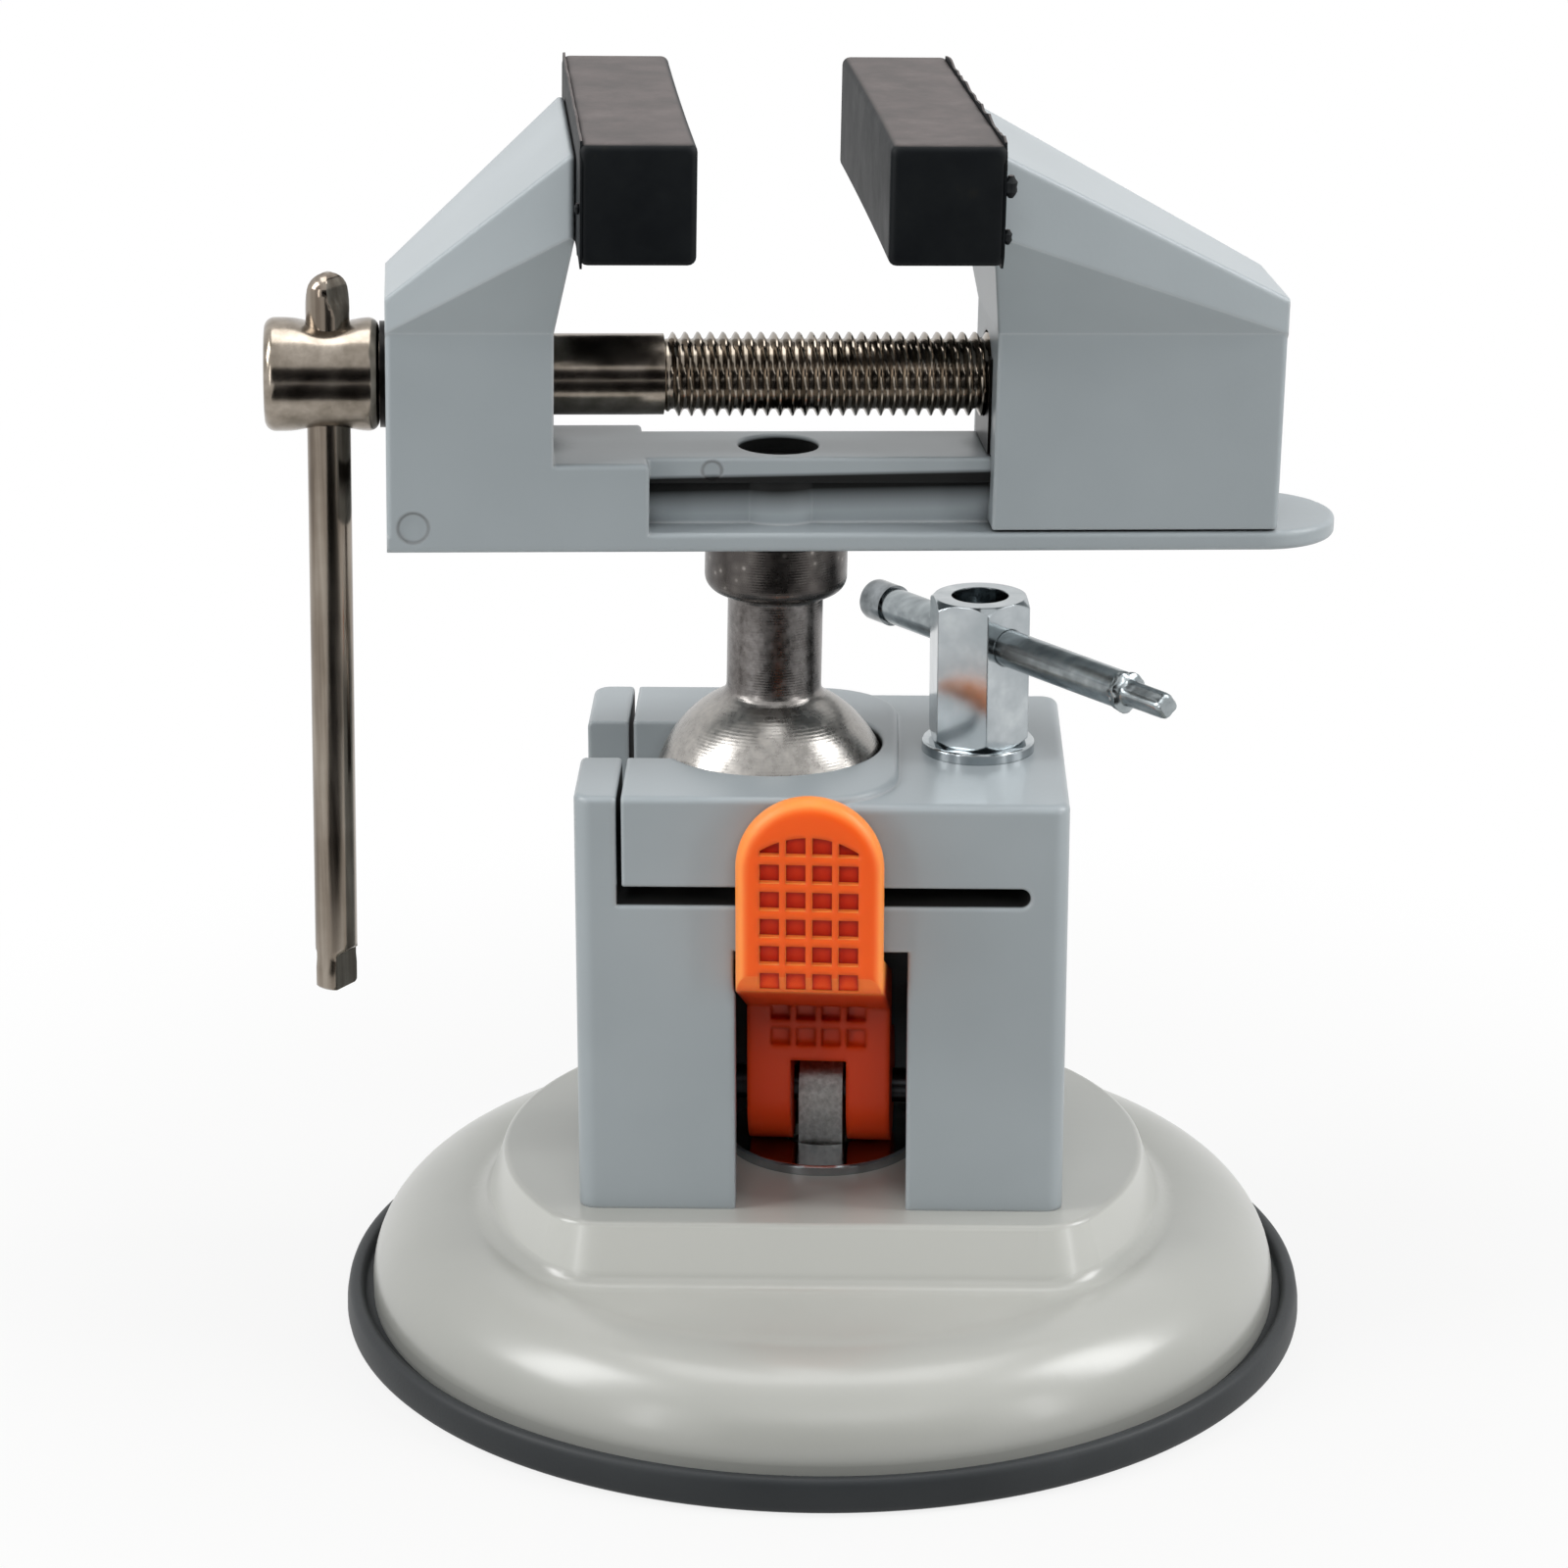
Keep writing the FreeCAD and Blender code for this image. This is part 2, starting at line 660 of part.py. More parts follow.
def ball_stud():
    """Ball, neck and collar turned from one bar, tapped from the top."""
    neck_start = ball_height + math.sqrt(ball_radius ** 2 - neck_radius ** 2)
    collar_bottom = bed_bottom - collar_height
    flare = math.sqrt(0.5) * collar_round
    tap_floor = bed_bottom - stud_screw_reach - 2
    tap = stud_screw_radius + running_gap
    low, side = Vector(0, 0, ball_height - ball_radius), Vector(ball_radius, 0, ball_height)
    neck_low = Vector(neck_radius, 0, neck_start)
    neck_high = Vector(neck_radius, 0, collar_bottom - collar_round)
    round_middle = Vector(collar_radius - collar_round + flare, 0, collar_bottom - flare)
    round_start = Vector(collar_radius - collar_round, 0, collar_bottom - collar_round)
    collar_low = Vector(collar_radius, 0, collar_bottom)
    collar_high = Vector(collar_radius, 0, bed_bottom - collar_chamfer)
    top = [Vector(collar_radius - collar_chamfer, 0, bed_bottom), Vector(tap, 0, bed_bottom)]
    inside = [Vector(tap, 0, tap_floor), Vector(0, 0, tap_floor - tap), low]
    edges = [arc(low, side, neck_low)]
    edges += corners([neck_low, neck_high, round_start])
    edges += [arc(round_start, round_middle, collar_low)]
    edges += corners([collar_low, collar_high] + top + inside)
    return turned(edges)


def stud_washer():
    washer = upright(stud_screw_head_radius, washer_seat, head_seat)
    return washer.cut(upright(stud_screw_radius + loose_gap, washer_seat, head_seat))


def hexagon_prism(across_flats, bottom, top):
    corner = across_flats / math.sqrt(3)
    around = [math.radians(60 * k) for k in range(7)]
    points = [Vector(corner * math.cos(a), corner * math.sin(a), bottom) for a in around]
    return Part.Face(Part.Wire(corners(points))).extrude(Vector(0, 0, top - bottom))


def stud_screw():
    """A socket head screw that ties the bed to the ball stud."""
    top = head_seat + stud_screw_head_height
    head = upright(stud_screw_head_radius, head_seat, top)
    head = head.makeChamfer(0.5, edges_at(head, top))
    head = head.cut(hexagon_prism(stud_screw_hex, top - stud_screw_head_height / 2, top))
    return head.fuse(upright(stud_screw_radius, bed_bottom - stud_screw_reach, head_seat))


def closed_body(points, faces):
    """A solid with flat faces, from its corner points and the corners of each face."""
    shells = [Part.Face(Part.Wire(corners([points[k] for k in face + face[:1]]))) for face in faces]
    return Part.Solid(Part.Shell(shells))


def jaw_head(outer, inner, face):
    """The part of a jaw that flares from the narrow body to the wide face that holds the pad."""
    n, w = bed_half_width, jaw_half_width
    points = []
    for s in (-1, 1):
        points += [
            Vector(outer, s * n, jaw_box_top),
            Vector(inner, s * n, jaw_box_top),
            Vector(face, s * w, jaw_face_bottom),
            Vector(face, s * w, jaw_face_top),
            Vector(outer, s * n, jaw_outer_top),
        ]
    faces = [[0, 1, 6, 5], [1, 2, 7, 6], [2, 3, 8, 7], [3, 4, 9, 8], [4, 0, 5, 9],
             [0, 1, 2], [0, 2, 3, 4], [5, 6, 7], [5, 7, 8, 9]]
    return closed_body(points, faces)


def tongue(face, outwards):
    """The tongue on a jaw's face that the rubber pad is pushed over."""
    reach = sorted((face, face + outwards * tongue_depth))
    return box(reach, (-tongue_half_length, tongue_half_length), (tongue_bottom, tongue_top))


def softened(jaw, outer):
    """A jaw casting with its wide top edges and its outer upright edges rounded off."""
    middle = (jaw_outer_top + jaw_face_top) / 2
    jaw = jaw.makeFillet(jaw_edge_round, edges_where(jaw, lambda c, e: c.z > middle - 0.1))
    tall = edges_where(jaw, lambda c, e: abs(c.x - outer) < 0.01 and e.BoundBox.ZLength > bed_half_width)
    return jaw.makeFillet(jaw_edge_round, tall)


def bed_flange():
    """The thin foot of the bed, round at its free end."""
    n = bed_half_width
    flange = box((bed_left, bed_right - n), (-n, n), (bed_bottom, flange_top))
    flange = flange.fuse(upright(n, bed_bottom, flange_top, bed_right - n)).removeSplitter()
    rims = edges_where(flange, lambda c, e: e.BoundBox.ZLength < 0.01 and e.BoundBox.XMax > bed_left + 1)
    return flange.makeFillet(jaw_edge_round, rims)


def fixed_jaw():
    """Bed, rail and fixed jaw in one casting."""
    n = bed_half_width
    foot = box((bed_left, foot_right), (-n, n), (bed_bottom + jaw_edge_round, rail_top))
    upper = box((bed_left, fixed_inner), (-n, n), (rail_top, jaw_box_top))
    jaw = foot.fuse([upper, jaw_head(bed_left, fixed_inner, fixed_face)]).removeSplitter()
    jaw = softened(jaw, bed_left)
    step = edges_where(jaw, lambda c, e: abs(c.z - rail_top) < 0.01 and c.x > fixed_inner + 1)
    jaw = jaw.makeFillet(jaw_edge_round, step)
    web = box((foot_right, rail_right), (-web_half_width, web_half_width), (flange_top, rail_bottom))
    rail = box((foot_right - 1, rail_right), (-rail_half_width, rail_half_width), (rail_bottom, rail_top))
    boss = upright(rail_boss_radius, flange_top, rail_bottom)
    jaw = jaw.fuse([bed_flange(), web, rail, boss, tongue(fixed_face, 1)]).removeSplitter()
    jaw = jaw.cut(along_x(screw_shank_radius + loose_gap / 2, 2 * bed_left, 0, screw_height))
    jaw = jaw.cut(along_x(clip_radius + loose_gap, fixed_inner - clip_pocket, 0, screw_height))
    jaw = jaw.cut(upright(bed_hole_radius, washer_seat, rail_top + 1))
    jaw = jaw.cut(upright(stud_screw_radius + loose_gap, bed_bottom, washer_seat))
    return bed_edges_broken(jaw).cut(die_marks())


def bed_edges_broken(jaw):
    """The bed with the edges of its foot, rail and screw hole broken."""
    def on_foot(c, e):
        return abs(c.x - foot_right) < 0.02 and abs(c.y) > bed_half_width - 0.02 and e.BoundBox.ZLength > 5

    def on_rail(c, e):
        return abs(abs(c.y) - rail_half_width) < 0.02 and e.BoundBox.XLength > 2 * bed_half_width

    def on_hole(c, e):
        return abs(c.z - rail_top) < 0.02 and abs(e.BoundBox.XLength - 2 * bed_hole_radius) < 0.02

    for chosen in (on_foot, on_rail, on_hole):
        jaw = jaw.makeFillet(jaw_edge_break, edges_where(jaw, chosen))
    return jaw


def die_marks():
    """Shallow round marks where the ejector pins pushed the casting out."""
    low = Vector(bed_left + foot_mark_inset, -bed_half_width, bed_bottom + foot_mark_inset)
    high = Vector(rail_mark_x, -rail_half_width, (rail_bottom + rail_top) / 2)
    inwards = Vector(0, 1, 0)
    foot = Part.makeCylinder(foot_mark_radius, mark_depth, low, inwards)
    return foot.fuse(Part.makeCylinder(rail_mark_radius, mark_depth, high, inwards))


def moving_jaw():
    """The sliding jaw, slotted underneath to wrap round the rail."""
    n, gap = bed_half_width, loose_gap
    body = box((moving_inner, moving_outer), (-n, n), (flange_top + gap, jaw_box_top))
    head = jaw_head(moving_outer, moving_inner, moving_face)
    jaw = softened(body.fuse(head).removeSplitter(), moving_outer)
    foot = edges_where(jaw, lambda c, e: e.BoundBox.ZMax < flange_top + gap + 0.01 and abs(c.y) > n - 1)
    jaw = jaw.makeFillet(jaw_edge_break, foot)
    for low, high in ((0, jaw_box_top), (jaw_box_top, jaw_face_top)):
        beside = edges_where(jaw, lambda c, e: abs(c.x - moving_inner) < 3 and low < c.z < high)
        jaw = jaw.makeFillet(jaw_edge_break, [e for e in beside if e.BoundBox.ZLength > n])
    jaw = jaw.fuse(tongue(moving_face, -1))
    run = (moving_inner - 1, moving_outer + 1)
    neck, rail = web_half_width + gap, rail_half_width + gap
    jaw = jaw.cut(box(run, (-neck, neck), (0, rail_top)))
    jaw = jaw.cut(box(run, (-rail, rail), (rail_bottom - gap, rail_top + gap)))
    jaw = jaw.cut(along_x(thread_radius + gap, moving_inner - 1, moving_outer + 1, screw_height))
    half = jaw_nut_half_width
    recess = (moving_inner, moving_inner + jaw_nut_thickness - jaw_nut_proud)
    return jaw.cut(box(recess, (-half, half), (rail_top, jaw_nut_top)))


def jaw_nut():
    """A steel half nut let into the moving jaw under the screw, which carries the thread."""
    half = jaw_nut_half_width
    low = rail_top + loose_gap
    left = moving_inner - jaw_nut_proud
    plate = box((left, left + jaw_nut_thickness), (-half, half), (low, jaw_nut_top))
    return plate.cut(along_x(thread_radius + running_gap, left, left + jaw_nut_thickness, screw_height))


def jaw_pad(face, outwards):
    """A rubber block with a blind pocket for the jaw's tongue."""
    x = sorted((face, face + outwards * pad_thickness))
    pad = box(x, (-pad_half_length, pad_half_length), (pad_bottom, pad_top))
    pad = pad.makeFillet(pad_edge_round, pad.Edges)
    reach = sorted((face - outwards, face + outwards * (tongue_depth + tongue_gap)))
    half = tongue_half_length + tongue_gap
    return pad.cut(box(reach, (-half, half), (tongue_bottom - tongue_gap, tongue_top + tongue_gap)))


def jaw_screw():
    """Cross-drilled head, plain shank and thread, in one turned piece."""
    head_left = screw_seat - screw_head_length
    head = along_x(screw_head_radius, head_left, screw_seat, screw_height)
    head = head.makeFillet(screw_head_round, [e for e in head.Edges if e.Closed])
    root = thread_radius - thread_depth
    points = [(0, screw_seat - 1), (screw_shank_radius, screw_seat - 1)]
    points.append((screw_shank_radius, screw_shank_end))
    turns = int((screw_end - screw_shank_end) / thread_pitch)
    flat = thread_pitch / 8
    for k in range(turns):
        x = screw_shank_end + k * thread_pitch
        points += [(root, x + thread_pitch / 2 - flat), (root, x + thread_pitch / 2 + flat)]
        points += [(thread_radius, x + thread_pitch - flat), (thread_radius, x + thread_pitch + flat)]
    tip = screw_shank_end + turns * thread_pitch + thread_pitch / 2
    points += [(root, tip), (root, tip + 1), (0, tip + 1)]
    places = [Vector(x, 0, screw_height + r) for r, x in points]
    thread = turned(corners(places + places[:1]), Vector(0, 0, screw_height), Vector(1, 0, 0))
    screw = head.fuse(thread)
    groove = along_x(2 * clip_radius, *clip_span(), screw_height)
    core = along_x(screw_shank_radius - clip_groove_depth, *clip_span(), screw_height)
    screw = screw.cut(groove.cut(core))
    return screw.cut(upright(tommy_radius + running_gap, 0, 2 * screw_height, tommy_x))


def clip_span():
    """Where the clip stands along the screw, inside the pocket in the fixed jaw."""
    left = fixed_inner - clip_pocket + running_gap
    return left, left + clip_thickness


def screw_clip():
    """The ring that keeps the screw from drawing out of the fixed jaw."""
    clip = along_x(clip_radius, *clip_span(), screw_height)
    bore = screw_shank_radius - clip_groove_depth + running_gap
    clip = clip.cut(along_x(bore, *clip_span(), screw_height))
    mouth = screw_shank_radius / 2
    return clip.cut(box(clip_span(), (-mouth, mouth), (0, screw_height)))


def thrust_washer():
    washer = along_x(thrust_washer_radius, washer_left, bed_left, screw_height)
    return washer.cut(along_x(screw_shank_radius + running_gap, washer_left, bed_left, screw_height))


def tommy_bar():
    """A plain bar whose two ends are pinched flat so that it can't leave its hole."""
    low, high = screw_height - tommy_below, screw_height + tommy_above
    bar = upright(tommy_radius, low, high, tommy_x)
    bar = bar.makeFillet(tommy_radius * 0.6, [e for e in bar.Edges if e.Closed])
    for end, inward in ((low, 1), (high, -1)):
        for side in (-1, 1):
            root = Vector(tommy_x - 2 * tommy_radius, side * tommy_radius, end + inward * tommy_flat_length)
            tip_in = Vector(root.x, side * tommy_flat_half, end)
            tip_out = Vector(root.x, side * 2 * tommy_radius, end)
            wedge = Part.Face(Part.Wire(corners([root, tip_in, tip_out, root])))
            bar = bar.cut(wedge.extrude(Vector(4 * tommy_radius, 0, 0)))
    bar.rotate(Vector(tommy_x, 0, 0), Vector(0, 0, 1), tommy_flat_turn)
    return bar


def save(name, shape):
    shape.exportStep("parts/" + name + ".step")


def save_base(name, shape):
    """Turn a base piece to its place and save it."""
    shape.rotate(Vector(0, 0, 0), Vector(0, 0, 1), base_turn)
    save(name, shape)


def save_head(name, shape):
    """Lay a head piece over on the ball, move it onto the base and save it."""
    shape.rotate(Vector(0, 0, ball_height), Vector(0, 1, 0), head_roll)
    a = math.radians(base_turn)
    shape.translate(Vector(ball_x * math.cos(a), ball_x * math.sin(a), 0))
    save(name, shape)


os.makedirs("parts", exist_ok=True)

for make in (suction_cup, base_dome, cup_plate, return_spring, cam_washer, block_screws, base_block,
             clamp_stud, clamp_washer, clamp_nut, clamp_bar):
    save_base(make.__name__, make())

for make in (pull_stem, lever_pin, cam_lever):
    shape = make()
    shape.rotate(Vector(0, 0, 0), Vector(0, 0, 1), stem_turn)
    save_base(make.__name__, shape)

for make in (ball_stud, stud_washer, stud_screw, fixed_jaw, moving_jaw, jaw_nut, jaw_screw, screw_clip,
             thrust_washer, tommy_bar):
    save_head(make.__name__, make())

save_head("fixed_jaw_pad", jaw_pad(fixed_face, 1))
save_head("moving_jaw_pad", jaw_pad(moving_face, -1))
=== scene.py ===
import bpy
import bmesh
import math
import random
from mathutils import Matrix, Vector


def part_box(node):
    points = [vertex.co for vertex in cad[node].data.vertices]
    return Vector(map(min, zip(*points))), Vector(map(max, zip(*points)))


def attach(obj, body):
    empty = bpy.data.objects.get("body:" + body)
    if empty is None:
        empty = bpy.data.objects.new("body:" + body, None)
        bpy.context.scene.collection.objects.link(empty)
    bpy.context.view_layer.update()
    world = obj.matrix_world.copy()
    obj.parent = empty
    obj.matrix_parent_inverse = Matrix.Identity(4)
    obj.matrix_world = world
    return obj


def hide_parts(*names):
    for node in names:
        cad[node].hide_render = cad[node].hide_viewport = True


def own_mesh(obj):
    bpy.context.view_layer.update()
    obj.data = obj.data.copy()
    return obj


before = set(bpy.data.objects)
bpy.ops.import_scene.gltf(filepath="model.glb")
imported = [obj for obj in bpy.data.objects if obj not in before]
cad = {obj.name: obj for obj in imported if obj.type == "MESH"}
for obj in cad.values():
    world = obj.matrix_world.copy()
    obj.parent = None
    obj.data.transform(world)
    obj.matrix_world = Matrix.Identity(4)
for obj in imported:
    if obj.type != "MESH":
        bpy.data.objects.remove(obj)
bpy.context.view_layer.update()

# Suction cup: one disc of nitrile rubber, compression moulded with an upturned rim that stands
# proud all round the dome. The dome sits inside the rim, and the cup is drawn up by its middle.


def linear(code):
    """A linear colour from an sRGB hex value."""
    parts = [int(code[i:i + 2], 16) / 255 for i in (1, 3, 5)]
    return [c / 12.92 if c <= 0.04045 else ((c + 0.055) / 1.055) ** 2.4 for c in parts] + [1.0]


def node(tree, kind, settings=None, steps=(), **links):
    """Adds a shader node. A value sets an input, and a (node, output) pair is linked to it."""
    made = tree.nodes.new("ShaderNode" + kind)
    for name, value in (settings or {}).items():
        setattr(made, name, value)
    for place, code in steps:
        known = made.color_ramp.elements
        first, last = place == steps[0][0], place == steps[-1][0]
        step = known[0] if first else known[-1] if last else known.new(place)
        step.position = place
        step.color = linear(code)
    for name, value in links.items():
        key = int(name[1:]) if name[1:].isdigit() else name.replace("_", " ")
        if isinstance(value, tuple) and hasattr(value[0], "outputs"):
            tree.links.new(value[0].outputs[value[1]], made.inputs[key])
        else:
            made.inputs[key].default_value = value
    return made


def finish_of(name, **sockets):
    """A new material with its surface shader set, and the piece's own coordinates."""
    material = bpy.data.materials.new(name)
    material.use_nodes = True
    skin = material.node_tree.nodes["Principled BSDF"]
    for socket, value in sockets.items():
        skin.inputs[socket.replace("_", " ")].default_value = value
    return material, material.node_tree, skin, node(material.node_tree, "TexCoord")


def skinned(rings):
    """Points and faces of a closed skin through rings of equally many points, flat at both ends."""
    count = len(rings[0])
    points = [point for ring in rings for point in ring]
    faces = [tuple(range(count)), tuple(range(len(points) - count, len(points)))]
    for start in range(0, len(points) - count, count):
        for k in range(count):
            a, b = start + k, start + (k + 1) % count
            faces.append((a, b, b + count, a + count))
    return points, faces


def shaped(name, points, faces, stand, material, body, slot):
    """A piece from points in millimetres, set in its place and tied to its body."""
    mesh = bpy.data.meshes.new(name)
    mesh.from_pydata([stand @ (Vector(point) / 1000) for point in points], [], faces)
    work = bmesh.new()
    work.from_mesh(mesh)
    bmesh.ops.recalc_face_normals(work, faces=work.faces)
    work.to_mesh(mesh)
    work.free()
    mesh.shade_smooth()
    mesh.set_sharp_from_angle(angle=math.radians(38))
    mesh.materials.append(material)
    piece = bpy.data.objects.new(name, mesh)
    bpy.context.scene.collection.objects.link(piece)
    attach(piece, body)
    return piece


# moulded nitrile rubber: dark neutral grey, dull, with a faint dusty bloom in cloudy patches
nitrile, tree, skin, place = finish_of("compression moulded nitrile rubber", Roughness=0.5,
                                       Specular_IOR_Level=0.3)
bloom = node(tree, "TexNoise", Vector=(place, "Object"), Scale=45.0, Detail=5.0)
tone = node(tree, "ValToRGB", steps=((0.32, "#1f2224"), (0.6, "#26292b"), (0.78, "#323538")),
            Fac=(bloom, "Fac"))
tree.links.new(tone.outputs["Color"], skin.inputs["Base Color"])
# 0.5 mm grain of the mould's blasted face, coarser than the real one so that it shows
grain = node(tree, "TexNoise", Vector=(place, "Object"), Scale=2000.0, Detail=2.0)
relief = node(tree, "Bump", Height=(grain, "Fac"), Strength=0.2, Distance=0.0001)
tree.links.new(relief.outputs["Normal"], skin.inputs["Normal"])

# the cup's section, as radius and height in millimetres
cup_section = (
    (20.0, 0.0), (60.0, 0.0), (68.6, 0.0), (69.5, 0.12), (69.88, 0.5), (70.0, 1.1), (69.95, 2.6),
    (69.7, 4.0), (69.5, 4.55), (69.1, 4.88), (68.6, 5.0), (68.1, 4.9), (67.7, 4.6), (67.5, 4.1),
    (67.4, 3.4), (67.1, 3.1), (66.4, 3.0), (60.0, 3.0), (40.0, 3.0), (20.0, 3.0),
)
around = [2 * math.pi * k / 180 for k in range(180)]
in_place = Matrix.Identity(4)
rings = [[(r * math.cos(a), r * math.sin(a), z) for a in around] for r, z in cup_section]
cup = shaped("cup_moulding", *skinned(rings), in_place, nitrile, "base", "cup_rubber")
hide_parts("suction_cup")

# Cup plate, return spring and body screws, all inside the dome: a pressed disc that is bonded to
# the cup, a coil of spring wire round the stem, and four screws driven up into the block's feet.


def give(name, material):
    """A carried-over solid takes a material in place of its own."""
    cad[name].data.materials.clear()
    cad[name].data.materials.append(material)


# cold rolled steel: even mid grey with fine rolling streaks
rolled, tree, skin, place = finish_of("cold rolled steel", Metallic=1.0, Roughness=0.34)
spread = node(tree, "Mapping", Vector=(place, "Object"), Scale=(1.0, 14.0, 1.0))
streak = node(tree, "TexNoise", Vector=(spread, 0), Scale=160.0, Detail=3.0)
tone = node(tree, "ValToRGB", steps=((0.3, "#8f9193"), (0.7, "#a9abac")), Fac=(streak, "Fac"))
tree.links.new(tone.outputs["Color"], skin.inputs["Base Color"])
give("cup_plate", rolled)

# oil tempered steel, for the spring and the lever pin: dark blue-grey, with a soft shine
tempered, tree, skin, place = finish_of("oil tempered steel", Metallic=1.0, Roughness=0.3)
smear = node(tree, "TexNoise", Vector=(place, "Object"), Scale=300.0, Detail=3.0)
tone = node(tree, "ValToRGB", steps=((0.3, "#3c3f42"), (0.7, "#505356")), Fac=(smear, "Fac"))
tree.links.new(tone.outputs["Color"], skin.inputs["Base Color"])
# five turns of 1.4 mm wire about the stem; the real turns shorten as the plate is drawn up, but
# this coil is built at one length
lowest, highest = [corner[2] * 1000 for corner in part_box("return_spring")]
wire_radius, coil_radius, turns, steps_a_turn, plate_rise = 0.7, 9.0, 5, 36, 2.5
rings = []
for k in range(turns * steps_a_turn + 1):
    a = 2 * math.pi * k / steps_a_turn
    z = lowest + wire_radius + (highest - lowest - 2 * wire_radius) * k / (turns * steps_a_turn)
    ring = []
    for b in around[::18]:
        r = coil_radius + wire_radius * math.cos(b)
        ring.append((r * math.cos(a), r * math.sin(a), z + wire_radius * math.sin(b)))
    rings.append(ring)
spring = shaped("return_spring_wound", *skinned(rings), in_place, tempered, "base", "plain_steel")
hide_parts("return_spring")
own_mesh(spring)

# bright zinc plate on turned and pressed steel: cool white metal with a faint cloudy passivation
zinc, tree, skin, place = finish_of("bright zinc plate", Metallic=1.0)
cloud = node(tree, "TexNoise", Vector=(place, "Object"), Scale=260.0, Detail=3.0)
tone = node(tree, "ValToRGB", steps=((0.3, "#a3aaad"), (0.55, "#b1b7ba"), (0.75, "#c0c6c8")),
            Fac=(cloud, "Fac"))
tree.links.new(tone.outputs["Color"], skin.inputs["Base Color"])
dull = node(tree, "MapRange", Value=(cloud, "Fac"), i3=0.08, i4=0.2)
tree.links.new(dull.outputs[0], skin.inputs["Roughness"])
# edges that tumbling in the plating barrel has broken to about 0.3 mm
broken = node(tree, "Bevel", {"samples": 4}, Radius=0.0003)
relief = node(tree, "Bump", Height=(cloud, "Fac"), Normal=(broken, 0), Strength=0.05,
              Distance=0.0001)
tree.links.new(relief.outputs["Normal"], skin.inputs["Normal"])
give("block_screws", zinc)

# Base dome: a pressure die casting with a round bulge and a raised flat for the block. It covers
# the cup inside its rim, and carries a warm grey satin enamel.


def within(tree, limits):
    """One where each value is past its limit, as (value, where it starts, where it is full)."""
    whole = None
    for value, start, full in limits:
        one = node(tree, "MapRange", Value=value, i1=start, i2=full)
        if whole:
            one = node(tree, "Math", {"operation": "MULTIPLY"}, i0=(whole, 0), i1=(one, 0))
        whole = one
    return whole


# stoved enamel: smooth warm grey with a broad soft shine and a slight orange peel
enamel, tree, skin, place = finish_of("stoved satin enamel", Roughness=0.3, Coat_Weight=0.3,
                                      Coat_Roughness=0.2)
cloud = node(tree, "TexNoise", Vector=(place, "Object"), Scale=22.0, Detail=3.0)
tone = node(tree, "ValToRGB", steps=((0.3, "#9fa09b"), (0.7, "#a9aaa5")), Fac=(cloud, "Fac"))
# painted light: the steep wall of the platform is made paler, standing in for the light it catches
spot = node(tree, "SeparateXYZ", Vector=(place, "Object"))
facing = node(tree, "SeparateXYZ", Vector=(place, "Normal"))
painted_wall_light = within(tree, (((facing, "Z"), 0.7, 0.2), ((spot, "Z"), 0.0165, 0.0185)))
wall_lit_enamel = node(tree, "Mix", {"data_type": "RGBA"}, Factor=(painted_wall_light, 0), i6=(tone, "Color"),
            i7=linear("#c4c5c0"))
tree.links.new(wall_lit_enamel.outputs[2], skin.inputs["Base Color"])
# orange peel with cells of about 1.2 mm
peel = node(tree, "TexNoise", Vector=(place, "Object"), Scale=800.0, Detail=1.0)
relief = node(tree, "Bump", Height=(peel, "Fac"), Strength=0.05, Distance=0.0002)
tree.links.new(relief.outputs["Normal"], skin.inputs["Normal"])
give("base_dome", enamel)

# Pull stem: a small sand-finish casting that runs down through the dome to the cup's plate. The
# lever pin goes through its flat eye, and the cams bear on a thin washer round it.

# blasted cast steel: dull silver with a fine sandy grain
cast, tree, skin, place = finish_of("blasted cast steel", Metallic=1.0, Roughness=0.46)
sand = node(tree, "TexNoise", Vector=(place, "Object"), Scale=1400.0, Detail=4.0)
tone = node(tree, "ValToRGB", steps=((0.3, "#b2b2b0"), (0.7, "#dadad8")), Fac=(sand, "Fac"))
tree.links.new(tone.outputs["Color"], skin.inputs["Base Color"])
relief = node(tree, "Bump", Height=(sand, "Fac"), Strength=0.5, Distance=0.0002)
tree.links.new(relief.outputs["Normal"], skin.inputs["Normal"])
give("pull_stem", cast)
give("lever_pin", tempered)
give("cam_washer", zinc)

# Cam lever: one injection moulding of glass-filled nylon with a forked cam, a leaning arm and an
# upright paddle full of square pockets. It turns on the pin and rolls its cams on the washer.

# moulded nylon: strong orange with a waxy shine. A painted highlight makes it paler at the rims,
# and painted shade makes it redder in the pockets and on the fork
nylon, tree, skin, place = finish_of(
    "injection moulded nylon", Roughness=0.38, Specular_IOR_Level=0.32, Subsurface_Weight=0.25,
    Subsurface_Scale=1.0, Subsurface_Radius=(0.004, 0.001, 0.0002))
# painted shade: darker and redder where ambient occlusion finds pockets and corners
pocket_shade = node(tree, "AmbientOcclusion", {"samples": 6}, Distance=0.0035)
tone = node(tree, "ValToRGB", steps=((0.3, "#a01000"), (0.7, "#d83604"), (0.98, "#f65e18")),
            Fac=(pocket_shade, "AO"))
rim = node(tree, "Bevel", {"samples": 6}, Radius=0.0012)
front = node(tree, "SeparateXYZ", Vector=(place, "Normal"))
round_edge = node(tree, "MapRange", Value=(front, "Y"), i1=-0.99, i2=-0.75)
# painted highlight: a paler orange on rims and tops, by which way they face
painted_rim_light = node(tree, "Mix", {"data_type": "RGBA"}, Factor=(round_edge, 0), i6=(tone, "Color"),
            i7=linear("#ff9446"))
spot = node(tree, "SeparateXYZ", Vector=(place, "Object"))
